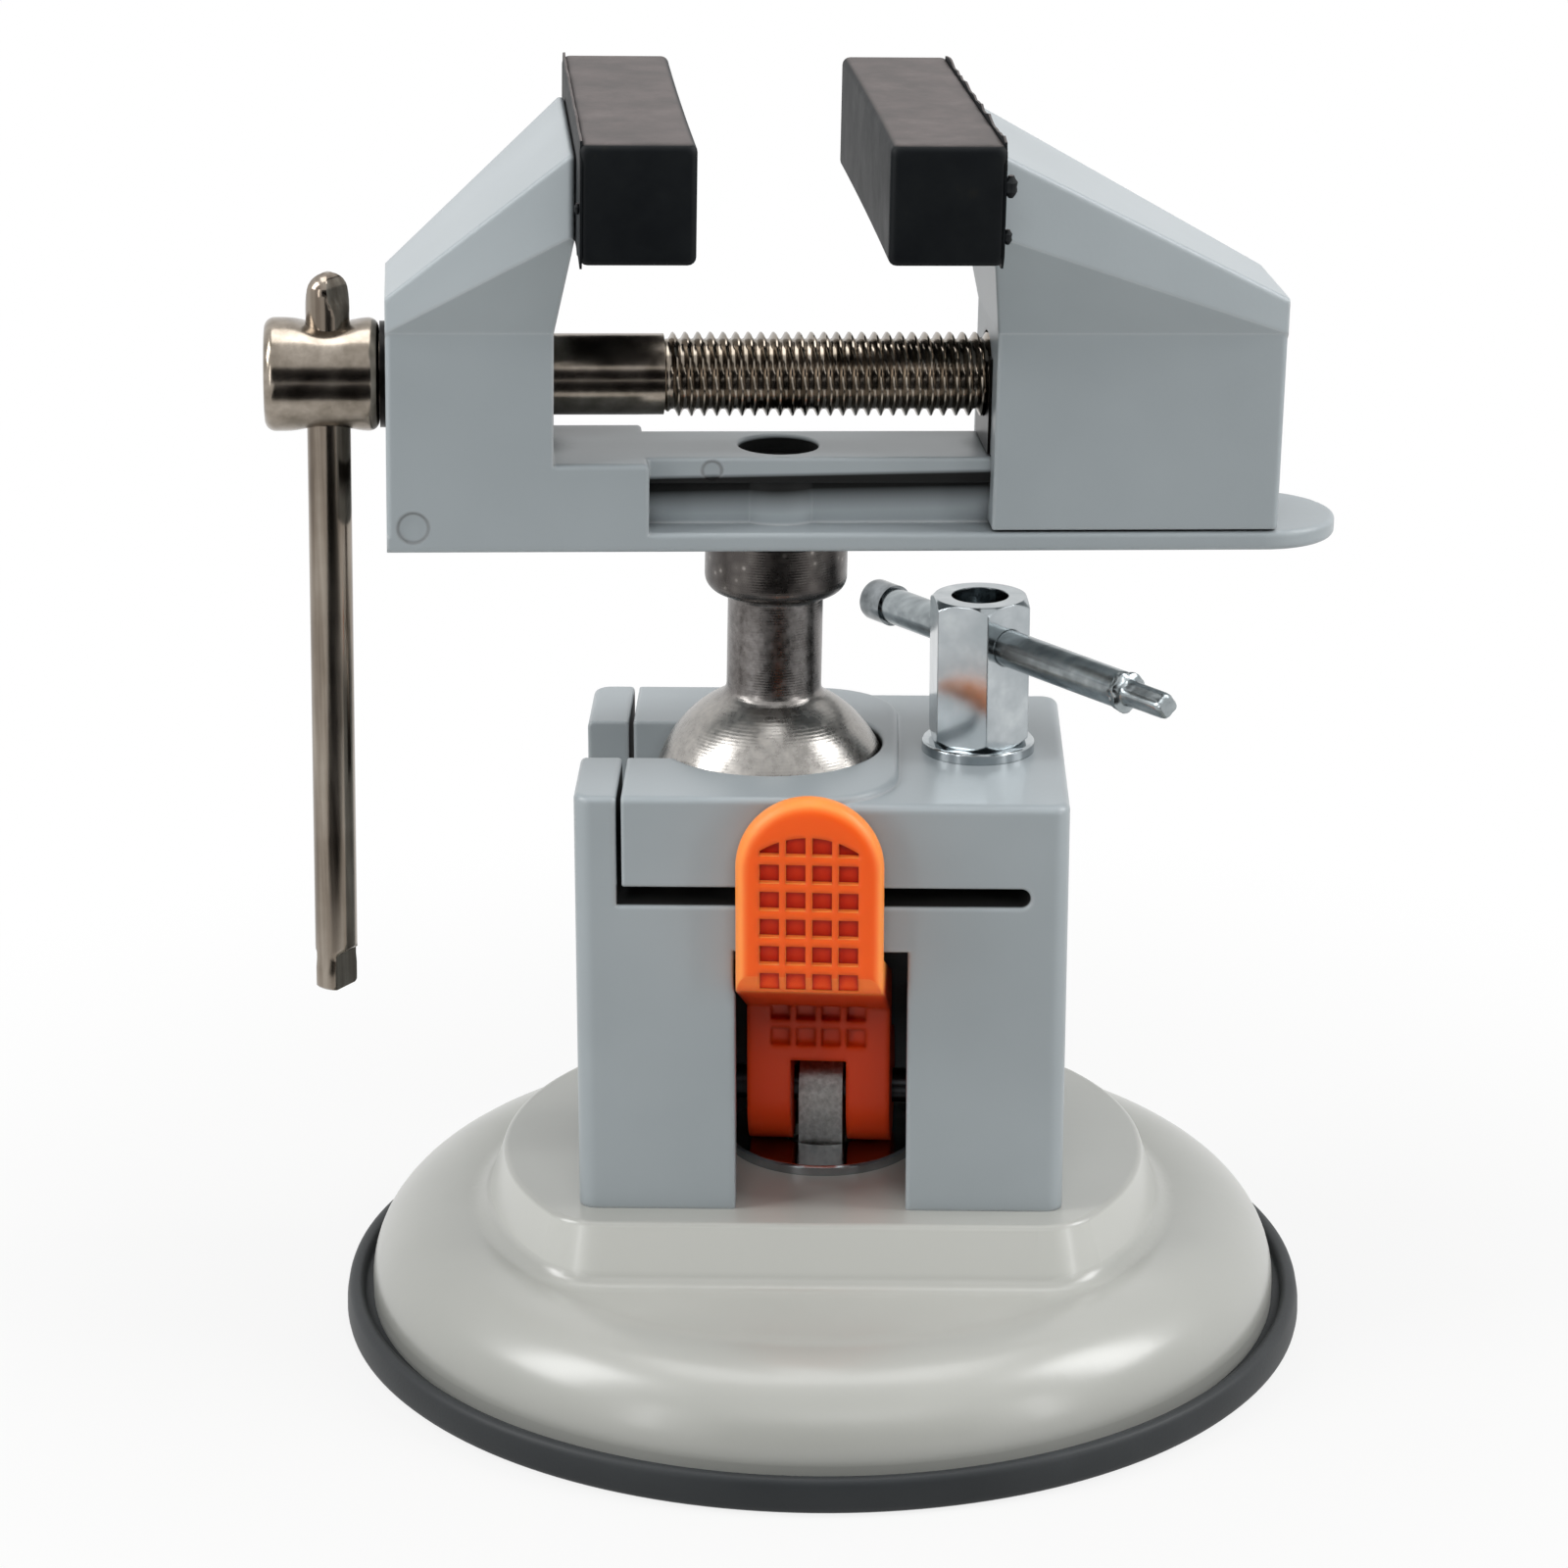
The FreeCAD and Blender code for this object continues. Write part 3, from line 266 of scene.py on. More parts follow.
# painted shade: the fork, low in the arch, is a darker red
# the fork starts about 59 mm up
low = node(tree, "MapRange", Value=(spot, "Z"), i1=0.0605, i2=0.0575)
fork = node(tree, "Mix", {"data_type": "RGBA"}, Factor=(low, 0), i6=(painted_rim_light, 2), i7=linear("#cc3a0a"))
tree.links.new(fork.outputs[2], skin.inputs["Base Color"])
flow = node(tree, "TexNoise", Vector=(place, "Object"), Scale=700.0, Detail=2.0)
relief = node(tree, "Bump", Height=(flow, "Fac"), Normal=(rim, 0), Strength=0.06, Distance=0.0002)
tree.links.new(relief.outputs["Normal"], skin.inputs["Normal"])
give("cam_lever", nylon)

# Base block: a pressure die casting with an arch for the lever, and slits that let its upper
# corner close round the ball. It stands on the dome, and four screws hold it from below.

# powder coat: cool grey and satin. Edges are paler, a painted highlight where the coat is also
# drawn thin, and deep in slits, under the rail and in the bed's hole it is painted almost black, a
# painted shade
coat, tree, skin, place = finish_of("satin powder coat", Coat_Weight=0.15, Coat_Roughness=0.25)
cloud = node(tree, "TexNoise", Vector=(place, "Object"), Scale=28.0, Detail=3.0)
tone = node(tree, "ValToRGB", steps=((0.3, "#959da1"), (0.7, "#9ea6aa")), Fac=(cloud, "Fac"))
rim = node(tree, "Bevel", {"samples": 6}, Radius=0.0008)
face = node(tree, "NewGeometry")
turn = node(tree, "VectorMath", {"operation": "DOT_PRODUCT"}, i0=(rim, 0), i1=(face, "Normal"))
# painted highlight: a pale line along each edge that the Bevel node rounds
painted_edge_light = node(tree, "ValToRGB", steps=((0.84, "#d8d8d8"), (0.985, "#000000")), Fac=(turn, "Value"))
lit_edges = node(tree, "Mix", {"data_type": "RGBA"}, Factor=(painted_edge_light, "Color"), i6=(tone, "Color"),
             i7=linear("#d2d6d8"))
# painted shade: the coat goes dark where ambient occlusion finds a deep crevice
reach = node(tree, "AmbientOcclusion", {"samples": 8}, Distance=0.006)
crevice_shade = node(tree, "ValToRGB", steps=((0.12, "#ffffff"), (0.34, "#a0a0a0"), (0.52, "#000000")),
              Fac=(reach, "AO"))
spot = node(tree, "SeparateXYZ", Vector=(place, "Object"))
# under the rail's overhang, from 121 to 127 mm up and as far in as its flanks
aside = node(tree, "Math", {"operation": "ABSOLUTE"}, i0=(spot, "Y"))
under_rail = within(tree, (((spot, "Z"), 0.1212, 0.1245), ((spot, "Z"), 0.1272, 0.1266),
                           ((aside, 0), 0.0076, 0.0072)))
# all through the slit under the ball, 2.6 mm high, to just inside the block's outer faces
block_turn = math.radians(-5.75)
squared = node(tree, "Mapping", Vector=(place, "Object"), Rotation=(0.0, 0.0, -block_turn))
deep = node(tree, "SeparateXYZ", Vector=(squared, 0))
across = node(tree, "Math", {"operation": "ABSOLUTE"}, i0=(deep, "X"))
aside = node(tree, "Math", {"operation": "ABSOLUTE"}, i0=(deep, "Y"))
in_slit = within(tree, (((spot, "Z"), 0.0699, 0.0701), ((spot, "Z"), 0.0733, 0.0731),
                        ((across, 0), 0.0314, 0.0311), ((aside, 0), 0.0256, 0.0252)))
# in the hole of the bed, 6 mm in radius, over the screw that holds the head on its stud
hole_off = node(tree, "Mapping", Vector=(place, "Object"), Location=(0.0065, -0.0007, 0.0),
                Scale=(1.0, 1.0, 0.0))
hole_off = node(tree, "VectorMath", {"operation": "LENGTH"}, i0=(hole_off, 0))
in_hole = within(tree, (((hole_off, "Value"), 0.0060, 0.0058), ((spot, "Z"), 0.1291, 0.1287),
                        ((spot, "Z"), 0.1150, 0.1160)))
# painted shade: under the rail's overhang, in the slit and in the hole the coat is darkened too
painted_shade = crevice_shade
for shade in (under_rail, in_slit, in_hole):
    painted_shade = node(tree, "Math", {"operation": "MAXIMUM"}, i0=(painted_shade, 0), i1=(shade, 0))
# painted shade: a dark line in the ring of each ejector pin's mark, on the front of the bed and on
# the rail, each given by its place and radius
marks = ((-0.05726, 0.12143, 0.0021), (-0.01614, 0.12765, 0.00135))
no_depth = node(tree, "Mapping", Vector=(place, "Object"), Scale=(1.0, 0.0, 1.0))
ahead = node(tree, "MapRange", Value=(spot, "Y"), i1=-0.006, i2=-0.0066)
for mark_x, mark_z, mark_radius in marks:
    off = node(tree, "VectorMath", {"operation": "DISTANCE"}, i0=(no_depth, 0),
               i1=(mark_x, 0.0, mark_z))
    past = node(tree, "Math", {"operation": "SUBTRACT"}, i0=(off, "Value"), i1=mark_radius)
    gap = node(tree, "Math", {"operation": "ABSOLUTE"}, i0=(past, 0))
    ring_shade = node(tree, "MapRange", Value=(gap, 0), i1=0.0004, i2=0.0001, i4=0.45)
    ring_shade = node(tree, "Math", {"operation": "MULTIPLY"}, i0=(ring_shade, 0), i1=(ahead, 0))
    painted_shade = node(tree, "Math", {"operation": "MAXIMUM"}, i0=(painted_shade, 0), i1=(ring_shade, 0))
# the painted shade takes the coat to near black there, and makes it rougher
shaded_coat = node(tree, "Mix", {"data_type": "RGBA"}, Factor=(painted_shade, 0), i6=(lit_edges, 2),
            i7=linear("#0a0b0b"))
tree.links.new(shaded_coat.outputs[2], skin.inputs["Base Color"])
dull = node(tree, "MapRange", Value=(painted_shade, 0), i3=0.36, i4=0.95)
tree.links.new(dull.outputs[0], skin.inputs["Roughness"])
# orange peel with cells of about 0.9 mm
peel = node(tree, "TexNoise", Vector=(place, "Object"), Scale=1100.0, Detail=1.5)
relief = node(tree, "Bump", Height=(peel, "Fac"), Normal=(rim, 0), Strength=0.07, Distance=0.0002)
tree.links.new(relief.outputs["Normal"], skin.inputs["Normal"])
give("base_block", coat)

# Clamp: a stud in the block, a plain washer and a tall nut turned from hexagon bar, which closes
# the block on the ball. All are bright zinc plated.
for name in ("clamp_stud", "clamp_washer", "clamp_nut"):
    give(name, zinc)

# Clamp bar: a round bar that slides through the nut. One end is headed into a low knob, and the
# other was swaged down to a squarish stub, which left a ragged burr round the shoulder.
nut_axis, bar_height, bar_turn = 21.9, 101.45, math.radians(-52.4)
bar_sides, knob_rings = 48, 15
# the burr lies just before the stub, and is held inside the radius that clears the nut's bore
burr_start, burr_end, stub_start, clear_radius = 31.2, 32.4, 32.6, 3.0
# place along the bar and radius, from the knob to the stub
bar_profile = (
    (-24.2, 1.6), (-24.2, 2.2), (-24.05, 2.9), (-23.7, 3.0), (-23.3, 3.0), (-22.9, 3.0),
    (-22.0, 3.0), (-21.6, 3.0), (-21.4, 3.0), (-21.2, 3.0), (-21.0, 3.0), (-20.7, 3.0),
    (-20.0, 3.0), (-19.7, 3.0), (-19.62, 3.0), (-19.6, 2.6), (-18.5, 2.6), (0.0, 2.6), (20.0, 2.6),
    (28.0, 2.6), (30.4, 2.6), (31.1, 2.62), (31.3, 2.75), (31.7, 2.85), (32.1, 2.8), (32.35, 2.5),
    (32.5, 1.9), (33.0, 1.72), (34.5, 1.7), (36.0, 1.68), (37.5, 1.68), (39.4, 1.66), (40.1, 1.55),
    (40.5, 1.25),
)
rings = []
for along, radius in bar_profile:
    ring = []
    for k in range(bar_sides):
        a = 2 * math.pi * k / bar_sides
        bump = square = 0.0
        if burr_start < along < burr_end:
            bump = 0.2 * math.sin(3 * a + 0.6) + 0.12 * math.sin(7 * a + along)
        if along > stub_start:
            square = 0.14 * math.cos(4 * a + 0.5)
        r = min(radius + bump, clear_radius) + square
        ring.append((along, r * math.cos(a), r * math.sin(a)))
    rings.append(ring)
nut_place = Matrix.Translation((nut_axis / 1000, 0, bar_height / 1000))
bar_stand = Matrix.Rotation(block_turn, 4, "Z") @ nut_place @ Matrix.Rotation(bar_turn, 4, "Z")
# dull zinc plate over drawn bar: satin grey, with faint streaks about 1.5 mm apart along the draw
satin, tree, skin, place = finish_of("dull zinc plate", Metallic=1.0, Roughness=0.24)
along = node(tree, "Mapping", Vector=(place, "Object"), Rotation=(0.0, 0.0, block_turn + bar_turn),
             Scale=(0.08, 1.0, 1.0))
streak = node(tree, "TexNoise", Vector=(along, 0), Scale=650.0, Detail=3.0)
tone = node(tree, "ValToRGB", steps=((0.3, "#858c8f"), (0.7, "#a9b0b2")), Fac=(streak, "Fac"))
tree.links.new(tone.outputs["Color"], skin.inputs["Base Color"])
relief = node(tree, "Bump", Height=(streak, "Fac"), Strength=0.15, Distance=0.0001)
tree.links.new(relief.outputs["Normal"], skin.inputs["Normal"])
bar = shaped("clamp_bar_turned", *skinned(rings), bar_stand, satin, "clamp_bar", "zinc_plate")
# dark passivated zinc: the knob end is a smoky grey
smoky, tree, skin, place = finish_of("dark passivated zinc", Metallic=1.0, Roughness=0.12)
cloud = node(tree, "TexNoise", Vector=(place, "Object"), Scale=420.0, Detail=3.0)
tone = node(tree, "ValToRGB", steps=((0.3, "#5c6163"), (0.7, "#989da0")), Fac=(cloud, "Fac"))
tree.links.new(tone.outputs["Color"], skin.inputs["Base Color"])
bar.data.materials.append(smoky)
# faces 0 and 1 close the knob's and the stub's end, and those between the rings follow in order
for face in bar.data.polygons:
    if face.index != 1 and face.index < 2 + bar_sides * knob_rings:
        face.material_index = 1
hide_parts("clamp_bar")

# Ball stud: ball, neck and collar turned from one bar of steel, then darkened by heat, with the
# mill scale left on the collar. The head is held down on it by a screw and washer in the bed.

# heat darkened steel: grey-brown with fine turning rings and pits, polished on the ball
dark, tree, skin, place = finish_of("heat darkened turned steel", Metallic=1.0)
spots = node(tree, "TexNoise", Vector=(place, "Object"), Scale=900.0, Detail=4.0, Roughness=0.6)
patch = node(tree, "TexNoise", Vector=(place, "Object"), Scale=130.0, Detail=3.0)
both = node(tree, "Math", {"operation": "ADD"}, i0=(spots, "Fac"), i1=(patch, "Fac"))
half = node(tree, "Math", {"operation": "MULTIPLY"}, i0=(both, 0), i1=0.5)
ball = node(tree, "ValToRGB", steps=((0.38, "#918e8a"), (0.5, "#9f9c98"), (0.62, "#ada9a4")),
            Fac=(half, 0))
neck = node(tree, "ValToRGB", steps=((0.38, "#605c5a"), (0.5, "#74706e"), (0.62, "#8b8785")),
            Fac=(half, 0))
spot = node(tree, "SeparateXYZ", Vector=(place, "Object"))
above = node(tree, "MapRange", Value=(spot, "Z"), i1=0.0925, i2=0.0945)
shaft = node(tree, "Mix", {"data_type": "RGBA"}, Factor=(above, 0), i6=(ball, "Color"),
             i7=(neck, "Color"))
# black mill scale with small bright chips, from z = 108 mm up
chips = node(tree, "TexVoronoi", Vector=(place, "Object"), Scale=520.0)
scale = node(tree, "ValToRGB", steps=((0.06, "#928d89"), (0.2, "#605c59"), (0.6, "#524e4c")),
             Fac=(chips, "Distance"))
collar = node(tree, "MapRange", Value=(spot, "Z"), i1=0.1075, i2=0.1085)
burnt = node(tree, "Mix", {"data_type": "RGBA"}, Factor=(collar, 0), i6=(shaft, 2),
             i7=(scale, "Color"))
tree.links.new(burnt.outputs[2], skin.inputs["Base Color"])
dull = node(tree, "MapRange", Value=(half, 0), i1=0.35, i2=0.65, i3=0.22, i4=0.36)
tree.links.new(dull.outputs[0], skin.inputs["Roughness"])
# turning rings 0.4 mm apart, coarser than the real ones so that they show
rings_cut = node(tree, "TexWave", {"bands_direction": "Z"}, Vector=(place, "Object"), Scale=800.0,
                 Distortion=1.0)
level = node(tree, "Mix", Factor=0.3, i2=(spots, "Fac"), i3=(rings_cut, "Fac"))
relief = node(tree, "Bump", Height=(level, 0), Strength=0.22, Distance=0.0001)
tree.links.new(relief.outputs["Normal"], skin.inputs["Normal"])

ball_height, ball_radius, neck_radius, flare, bed_low = 77.8, 17.0, 6.7, 2.0, 116.9
collar_radius, collar_chamfer, collar_round, collar_low = 10.0, 0.5, 2.4, 110.7
bore_radius, bore_low = 3.05, 99.9
flare_rise = math.sqrt((ball_radius + flare) ** 2 - (neck_radius + flare) ** 2)
flare_end = math.pi + math.atan2(flare_rise, neck_radius + flare)
# the bore for the screw, the collar's top and rounded foot, and then the neck, flare and ball
stud_profile = [(bore_radius, bore_low), (bore_radius, bed_low),
                (collar_radius - collar_chamfer, bed_low),
                (collar_radius, bed_low - collar_chamfer), (collar_radius, collar_low)]
for k in range(1, 11):
    t = math.pi * k / 20
    stud_profile.append((collar_radius - collar_round + collar_round * math.cos(t),
                         collar_low - collar_round * math.sin(t)))
stud_profile += [(neck_radius + 0.5, 108.25), (neck_radius + 0.1, 107.9), (neck_radius, 107.4)]
for k in range(9):
    t = math.pi + (flare_end - math.pi) * k / 8
    stud_profile.append((neck_radius + flare * (1 + math.cos(t)),
                         ball_height + flare_rise + flare * math.sin(t)))
# round the ball, to just short of its lowest point
start = math.atan2(flare_rise, neck_radius + flare)
for k in range(1, 48):
    t = start - (start + math.pi / 2 - 0.03) * k / 47
    stud_profile.append((ball_radius * math.cos(t), ball_height + ball_radius * math.sin(t)))
# the head stands over the ball's middle, and is laid over on it by about one degree
ball_place = Vector((-7.3628, 0.7414, ball_height)) / 1000
head_roll = Matrix.Rotation(math.radians(1.06), 4, "Y")
head_stand = Matrix.Translation(ball_place) @ head_roll @ Matrix.Translation((0, 0, -ball_place.z))
rings = [[(r * math.cos(a), r * math.sin(a), z) for a in around[::2]] for r, z in stud_profile]
stud = shaped("ball_stud_turned", *skinned(rings), head_stand, dark, "ball_stud", "ball_steel")
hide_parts("ball_stud")

# blackened steel: nearly black oxide with an oily shine
black, tree, skin, place = finish_of("blackened steel", Metallic=1.0, Roughness=0.36)
smear = node(tree, "TexNoise", Vector=(place, "Object"), Scale=400.0, Detail=3.0)
tone = node(tree, "ValToRGB", steps=((0.3, "#151515"), (0.7, "#262524")), Fac=(smear, "Fac"))
tree.links.new(tone.outputs["Color"], skin.inputs["Base Color"])
for name in ("stud_screw", "stud_washer"):
    give(name, black)

# Jaws: two die castings in the same powder coat as the block. The fixed one is also the bed and
# the rail, and the moving one wraps round the rail with a half nut let into its inner face.
for name in ("fixed_jaw", "moving_jaw"):
    give(name, coat)
give("jaw_nut", black)

# Jaw screw: turned from bar, with a cross-drilled head, a plain shank and a cut thread, and
# nickel plated. A washer takes its thrust, and a clip inside the jaw keeps it from drawing out.

# nickel plate over turned steel: warm grey metal, cloudy and a little brown where it is thin
nickel, tree, skin, place = finish_of("dull nickel plate", Metallic=1.0)
cloud = node(tree, "TexNoise", Vector=(place, "Object"), Scale=300.0, Detail=5.0, Roughness=0.55)
tone = node(tree, "ValToRGB", steps=((0.3, "#766e63"), (0.5, "#8f867b"), (0.72, "#a69d92")),
            Fac=(cloud, "Fac"))
tree.links.new(tone.outputs["Color"], skin.inputs["Base Color"])
dull = node(tree, "MapRange", Value=(cloud, "Fac"), i3=0.12, i4=0.28)
tree.links.new(dull.outputs[0], skin.inputs["Roughness"])
relief = node(tree, "Bump", Height=(cloud, "Fac"), Strength=0.12, Distance=0.0001)
tree.links.new(relief.outputs["Normal"], skin.inputs["Normal"])

screw_height, head_left, seat, shank_end, screw_end = 139.3, -70.85, -55.15, -16.1, 66.9
head_radius, head_round, shank_radius = 7.8, 1.5, 5.6
hole_x, hole_radius, dimple, dimple_reach = -62.15, 3.05, 0.55, 1.5
groove_left, groove_right, groove_radius = -33.2, -32.1, 5.0
# the thread, with the shares of half a pitch that its flat crest and its flank take, and how far
# it takes to fade out at its ends
crest, root, pitch, flat_share, flank_share, fade_out = 5.8, 4.85, 1.75, 0.16, 0.56, 1.2


def screw_radius(x, a):
    """How far the screw's skin is from its axis, x along it and a round it."""
    if x < seat:
        end = min(x - head_left, seat - x)
        past = max(0.0, head_round - end)
        r = head_radius - head_round + math.sqrt(max(0.0, head_round ** 2 - past ** 2))
        off = math.hypot(x - hole_x, r * math.cos(a))
        return r - dimple * math.exp(-((off - hole_radius) / dimple_reach) ** 2)
    if groove_left < x < groove_right:
        return groove_radius
    if x < shank_end:
        return shank_radius
    turn = ((x - shank_end) / pitch - a / (2 * math.pi)) % 1.0
    flank = min(1.0, max(0.0, (abs(turn - 0.5) * 2 - flat_share) / flank_share))
    ends = min(1.0, (x - shank_end) / fade_out, (screw_end - x) / fade_out)
    return root + (crest - root) * (1 - flank) * max(0.0, ends)


stations = [head_left + d for d in (0.0, 0.05, 0.2, 0.45, 0.8, 1.2, 1.6)]
stations += [head_left + 2.2 + 0.45 * k for k in range(26)]
stations += [seat - d for d in (1.6, 1.2, 0.8, 0.45, 0.2, 0.05, 0.001)]
stations += [seat, groove_left, groove_left + 0.01, groove_right - 0.01, groove_right]
stations += [shank_end - 0.6, shank_end - 0.01]
stations += [shank_end + pitch / 8 * k for k in range(int((screw_end - shank_end) / pitch * 8))]
rings = []
for x in stations:
    ring = []
    for k in range(64):
        a = 2 * math.pi * k / 64
        r = screw_radius(x, a)
        ring.append((x, r * math.cos(a), screw_height + r * math.sin(a)))
    rings.append(ring)
screw = shaped("jaw_screw_turned", *skinned(rings), head_stand, nickel, "jaw_screw", "nickel_plate")


def cut(piece, rings):
    """Takes the shape inside some rings, in the head's own millimetres, out of a piece."""
    tool = shaped("cutter", *skinned(rings), head_stand, piece.data.materials[0], "head",
                  "nickel_plate")
    step = piece.modifiers.new("cut", "BOOLEAN")
    step.object = tool
    step.solver = "EXACT"
    done = piece.evaluated_get(bpy.context.evaluated_depsgraph_get())
    mesh = bpy.data.meshes.new_from_object(done)
    piece.modifiers.clear()
    piece.data = mesh
    mesh.shade_smooth()
    mesh.set_sharp_from_angle(angle=math.radians(38))
    bpy.data.objects.remove(tool)


bore = [(hole_x + hole_radius * math.cos(a), hole_radius * math.sin(a)) for a in around[::4]]
bore_ends = screw_height - 12, screw_height + 12
cut(screw, [[(x, y, z) for x, y in bore] for z in bore_ends])
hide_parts("jaw_screw")
for name in ("thrust_washer", "screw_clip"):
    give(name, black)

# Tommy bar: a plain round bar, nickel plated, that slides in the screw's head. Both ends were
# pinched flat in a press after it was put in, so that it can't fall out.

# nickel plate over drawn bar: bright, browner than the screw, with faint streaks along the draw
# about 1.5 mm apart, coarser than the real ones so that they show
drawn, tree, skin, place = finish_of("nickel plate over drawn bar", Metallic=1.0)
along = node(tree, "Mapping", Vector=(place, "Object"), Scale=(1.0, 1.0, 0.05))
streak = node(tree, "TexNoise", Vector=(along, 0), Scale=650.0, Detail=3.0)
cloud = node(tree, "TexNoise", Vector=(place, "Object"), Scale=90.0, Detail=4.0)
both = node(tree, "Mix", Factor=0.35, i2=(streak, "Fac"), i3=(cloud, "Fac"))
tone = node(tree, "ValToRGB", steps=((0.36, "#665c52"), (0.5, "#81776c"), (0.64, "#9a9186")),
            Fac=(both, 0))
tree.links.new(tone.outputs["Color"], skin.inputs["Base Color"])
dull = node(tree, "MapRange", Value=(both, 0), i1=0.3, i2=0.7, i3=0.1, i4=0.24)
tree.links.new(dull.outputs[0], skin.inputs["Roughness"])
relief = node(tree, "Bump", Height=(both, 0), Strength=0.15, Distance=0.0001)
tree.links.new(relief.outputs["Normal"], skin.inputs["Normal"])

tommy_low, tommy_high, tommy_radius = 49.7, 153.5, 3.0
# how far each pinch reaches and how long its slope is, how deep they go and how they are turned
low_reach, low_slope, high_reach, high_slope = 6.3, 1.1, 5.8, 3.4
pinch_depth, pinch_turn = 1.3, math.radians(144.0)
stations = [tommy_low + d for d in (0.0, 0.1, 0.4, 0.9, 1.6, 3.0, 4.4, 5.2, 5.6, 5.9, 6.3, 7.2)]
stations += [tommy_low + d for d in (20, 45, 70)]
stations += [tommy_high - d for d in (7.0, 5.6, 4.8, 4.0, 3.0, 2.2, 1.6, 1.0, 0.6, 0.3, 0.1, 0.0)]
rings = []
for z in stations:
    low, high = z - tommy_low, tommy_high - z
    pinch = (low_reach - low) / low_slope if low < high else (high_reach - high) / high_slope
    pinch = min(1.0, max(0.0, pinch))
    half = tommy_radius - pinch_depth * pinch * pinch * (3 - 2 * pinch)
    # the low end is cut off nearly square, and the high end is rounded
    if low < high:
        shrink = 1 - 0.16 * max(0.0, 1 - low / 0.5) ** 2
        narrow = 1 - 0.3 * (1 - shrink)
    else:
        shrink = narrow = math.sqrt(max(0.04, 1 - max(0.0, 1 - high / 2.6) ** 2))
    # the pinch at the low end squeezed it 7 % wider
    wider = 1 + 0.07 * min(1.0, max(0.0, 4.4 - low))
    ring = []
    for k in range(48):
        a = 2 * math.pi * k / 48
        u = max(-half, min(half, tommy_radius * math.cos(a))) * narrow
        v = tommy_radius * math.sin(a) * shrink * wider
        ring.append((hole_x + u * math.cos(pinch_turn) - v * math.sin(pinch_turn),
                     u * math.sin(pinch_turn) + v * math.cos(pinch_turn), z))
    rings.append(ring)
tommy = shaped("tommy_bar_pinched", *skinned(rings), head_stand, drawn, "tommy_bar", "nickel_plate")
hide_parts("tommy_bar")

# Jaw pads: two blocks of black rubber, each moulded with a pocket and pushed over a tongue on its
# jaw. The mould left thin flash round their backs and a few squeezed-out nubs.

# moulded natural rubber: near black, with a brownish dull sheen and small scuffs
rubber, tree, skin, place = finish_of("moulded natural rubber", Specular_IOR_Level=0.14)
scuff = node(tree, "TexNoise", Vector=(place, "Object"), Scale=130.0, Detail=6.0, Roughness=0.7)
tone = node(tree, "ValToRGB", steps=((0.35, "#0a0d10"), (0.62, "#0f1214"), (0.8, "#1b1a16")),
            Fac=(scuff, "Fac"))
# the tops are a brownish grey: partly dust and scuffs, partly a painted sheen for the light they
# catch from above
dust_and_sheen = node(tree, "ValToRGB", steps=((0.35, "#454140"), (0.6, "#5a5453"), (0.8, "#6b6564")),
            Fac=(scuff, "Fac"))
facing = node(tree, "SeparateXYZ", Vector=(place, "Normal"))
on_top = node(tree, "MapRange", Value=(facing, "Z"), i1=0.75, i2=0.98)
dusty_lit_tops = node(tree, "Mix", {"data_type": "RGBA"}, Factor=(on_top, 0), i6=(tone, "Color"),
             i7=(dust_and_sheen, "Color"))
tree.links.new(dusty_lit_tops.outputs[2], skin.inputs["Base Color"])
dull = node(tree, "MapRange", Value=(scuff, "Fac"), i3=0.42, i4=0.66)
tree.links.new(dull.outputs[0], skin.inputs["Roughness"])
# 0.6 mm grain of the mould
grain = node(tree, "TexNoise", Vector=(place, "Object"), Scale=1600.0, Detail=2.0)
relief = node(tree, "Bump", Height=(grain, "Fac"), Strength=0.12, Distance=0.0001)
tree.links.new(relief.outputs["Normal"], skin.inputs["Normal"])

pad_depth, pad_half, pad_low, pad_high = 15.2, 35.0, 161.7, 177.6
pad_middle, pad_corner, pad_sink = (pad_low + pad_high) / 2, 1.1, 0.35
chance = random.Random(7)


def pad_ring(y, inset, back, outwards):
    """A slice across a pad: an upright rectangle with round corners, a little hollow in front."""
    sink = pad_sink * (1 - (y / pad_half) ** 2)
    reach, rise = pad_depth / 2 - pad_corner - inset, (pad_high - pad_low) / 2 - pad_corner - inset
    ring = []
    for corner, (side, up) in enumerate(((1, 1), (-1, 1), (-1, -1), (1, -1))):
        for step in range(5):
            a = math.pi / 2 * (corner + step / 4)
            x = pad_depth / 2 + side * reach + pad_corner * math.cos(a)
            z = pad_middle + up * rise + pad_corner * math.sin(a)
            # the hollow is deepest at half height
            if x > pad_depth / 2:
                x -= sink * (1 - 0.6 * abs(z - pad_middle) / 8)
            ring.append((back + outwards * x, y, z))
    return ring


def lump(x, y, z, size):
    """A small squeezed-out nub, longer than it is wide."""
    rings = []
    for i in range(1, 8):
        b = math.pi * i / 8
        swell = size * math.sin(b) * (1 + 0.18 * math.sin(3 * i))
        high = z - 1.25 * size * math.cos(b)
        rings.append([(x + 0.7 * swell * math.cos(a), y + swell * math.sin(a), high)
                      for a in around[::15]])
    return skinned(rings)


def joined(parts):
    """Several closed skins as one set of points and faces."""
    points, faces = [], []
    for some, skins in parts:
        faces += [tuple(k + len(points) for k in face) for face in skins]
        points += some
    return points, faces


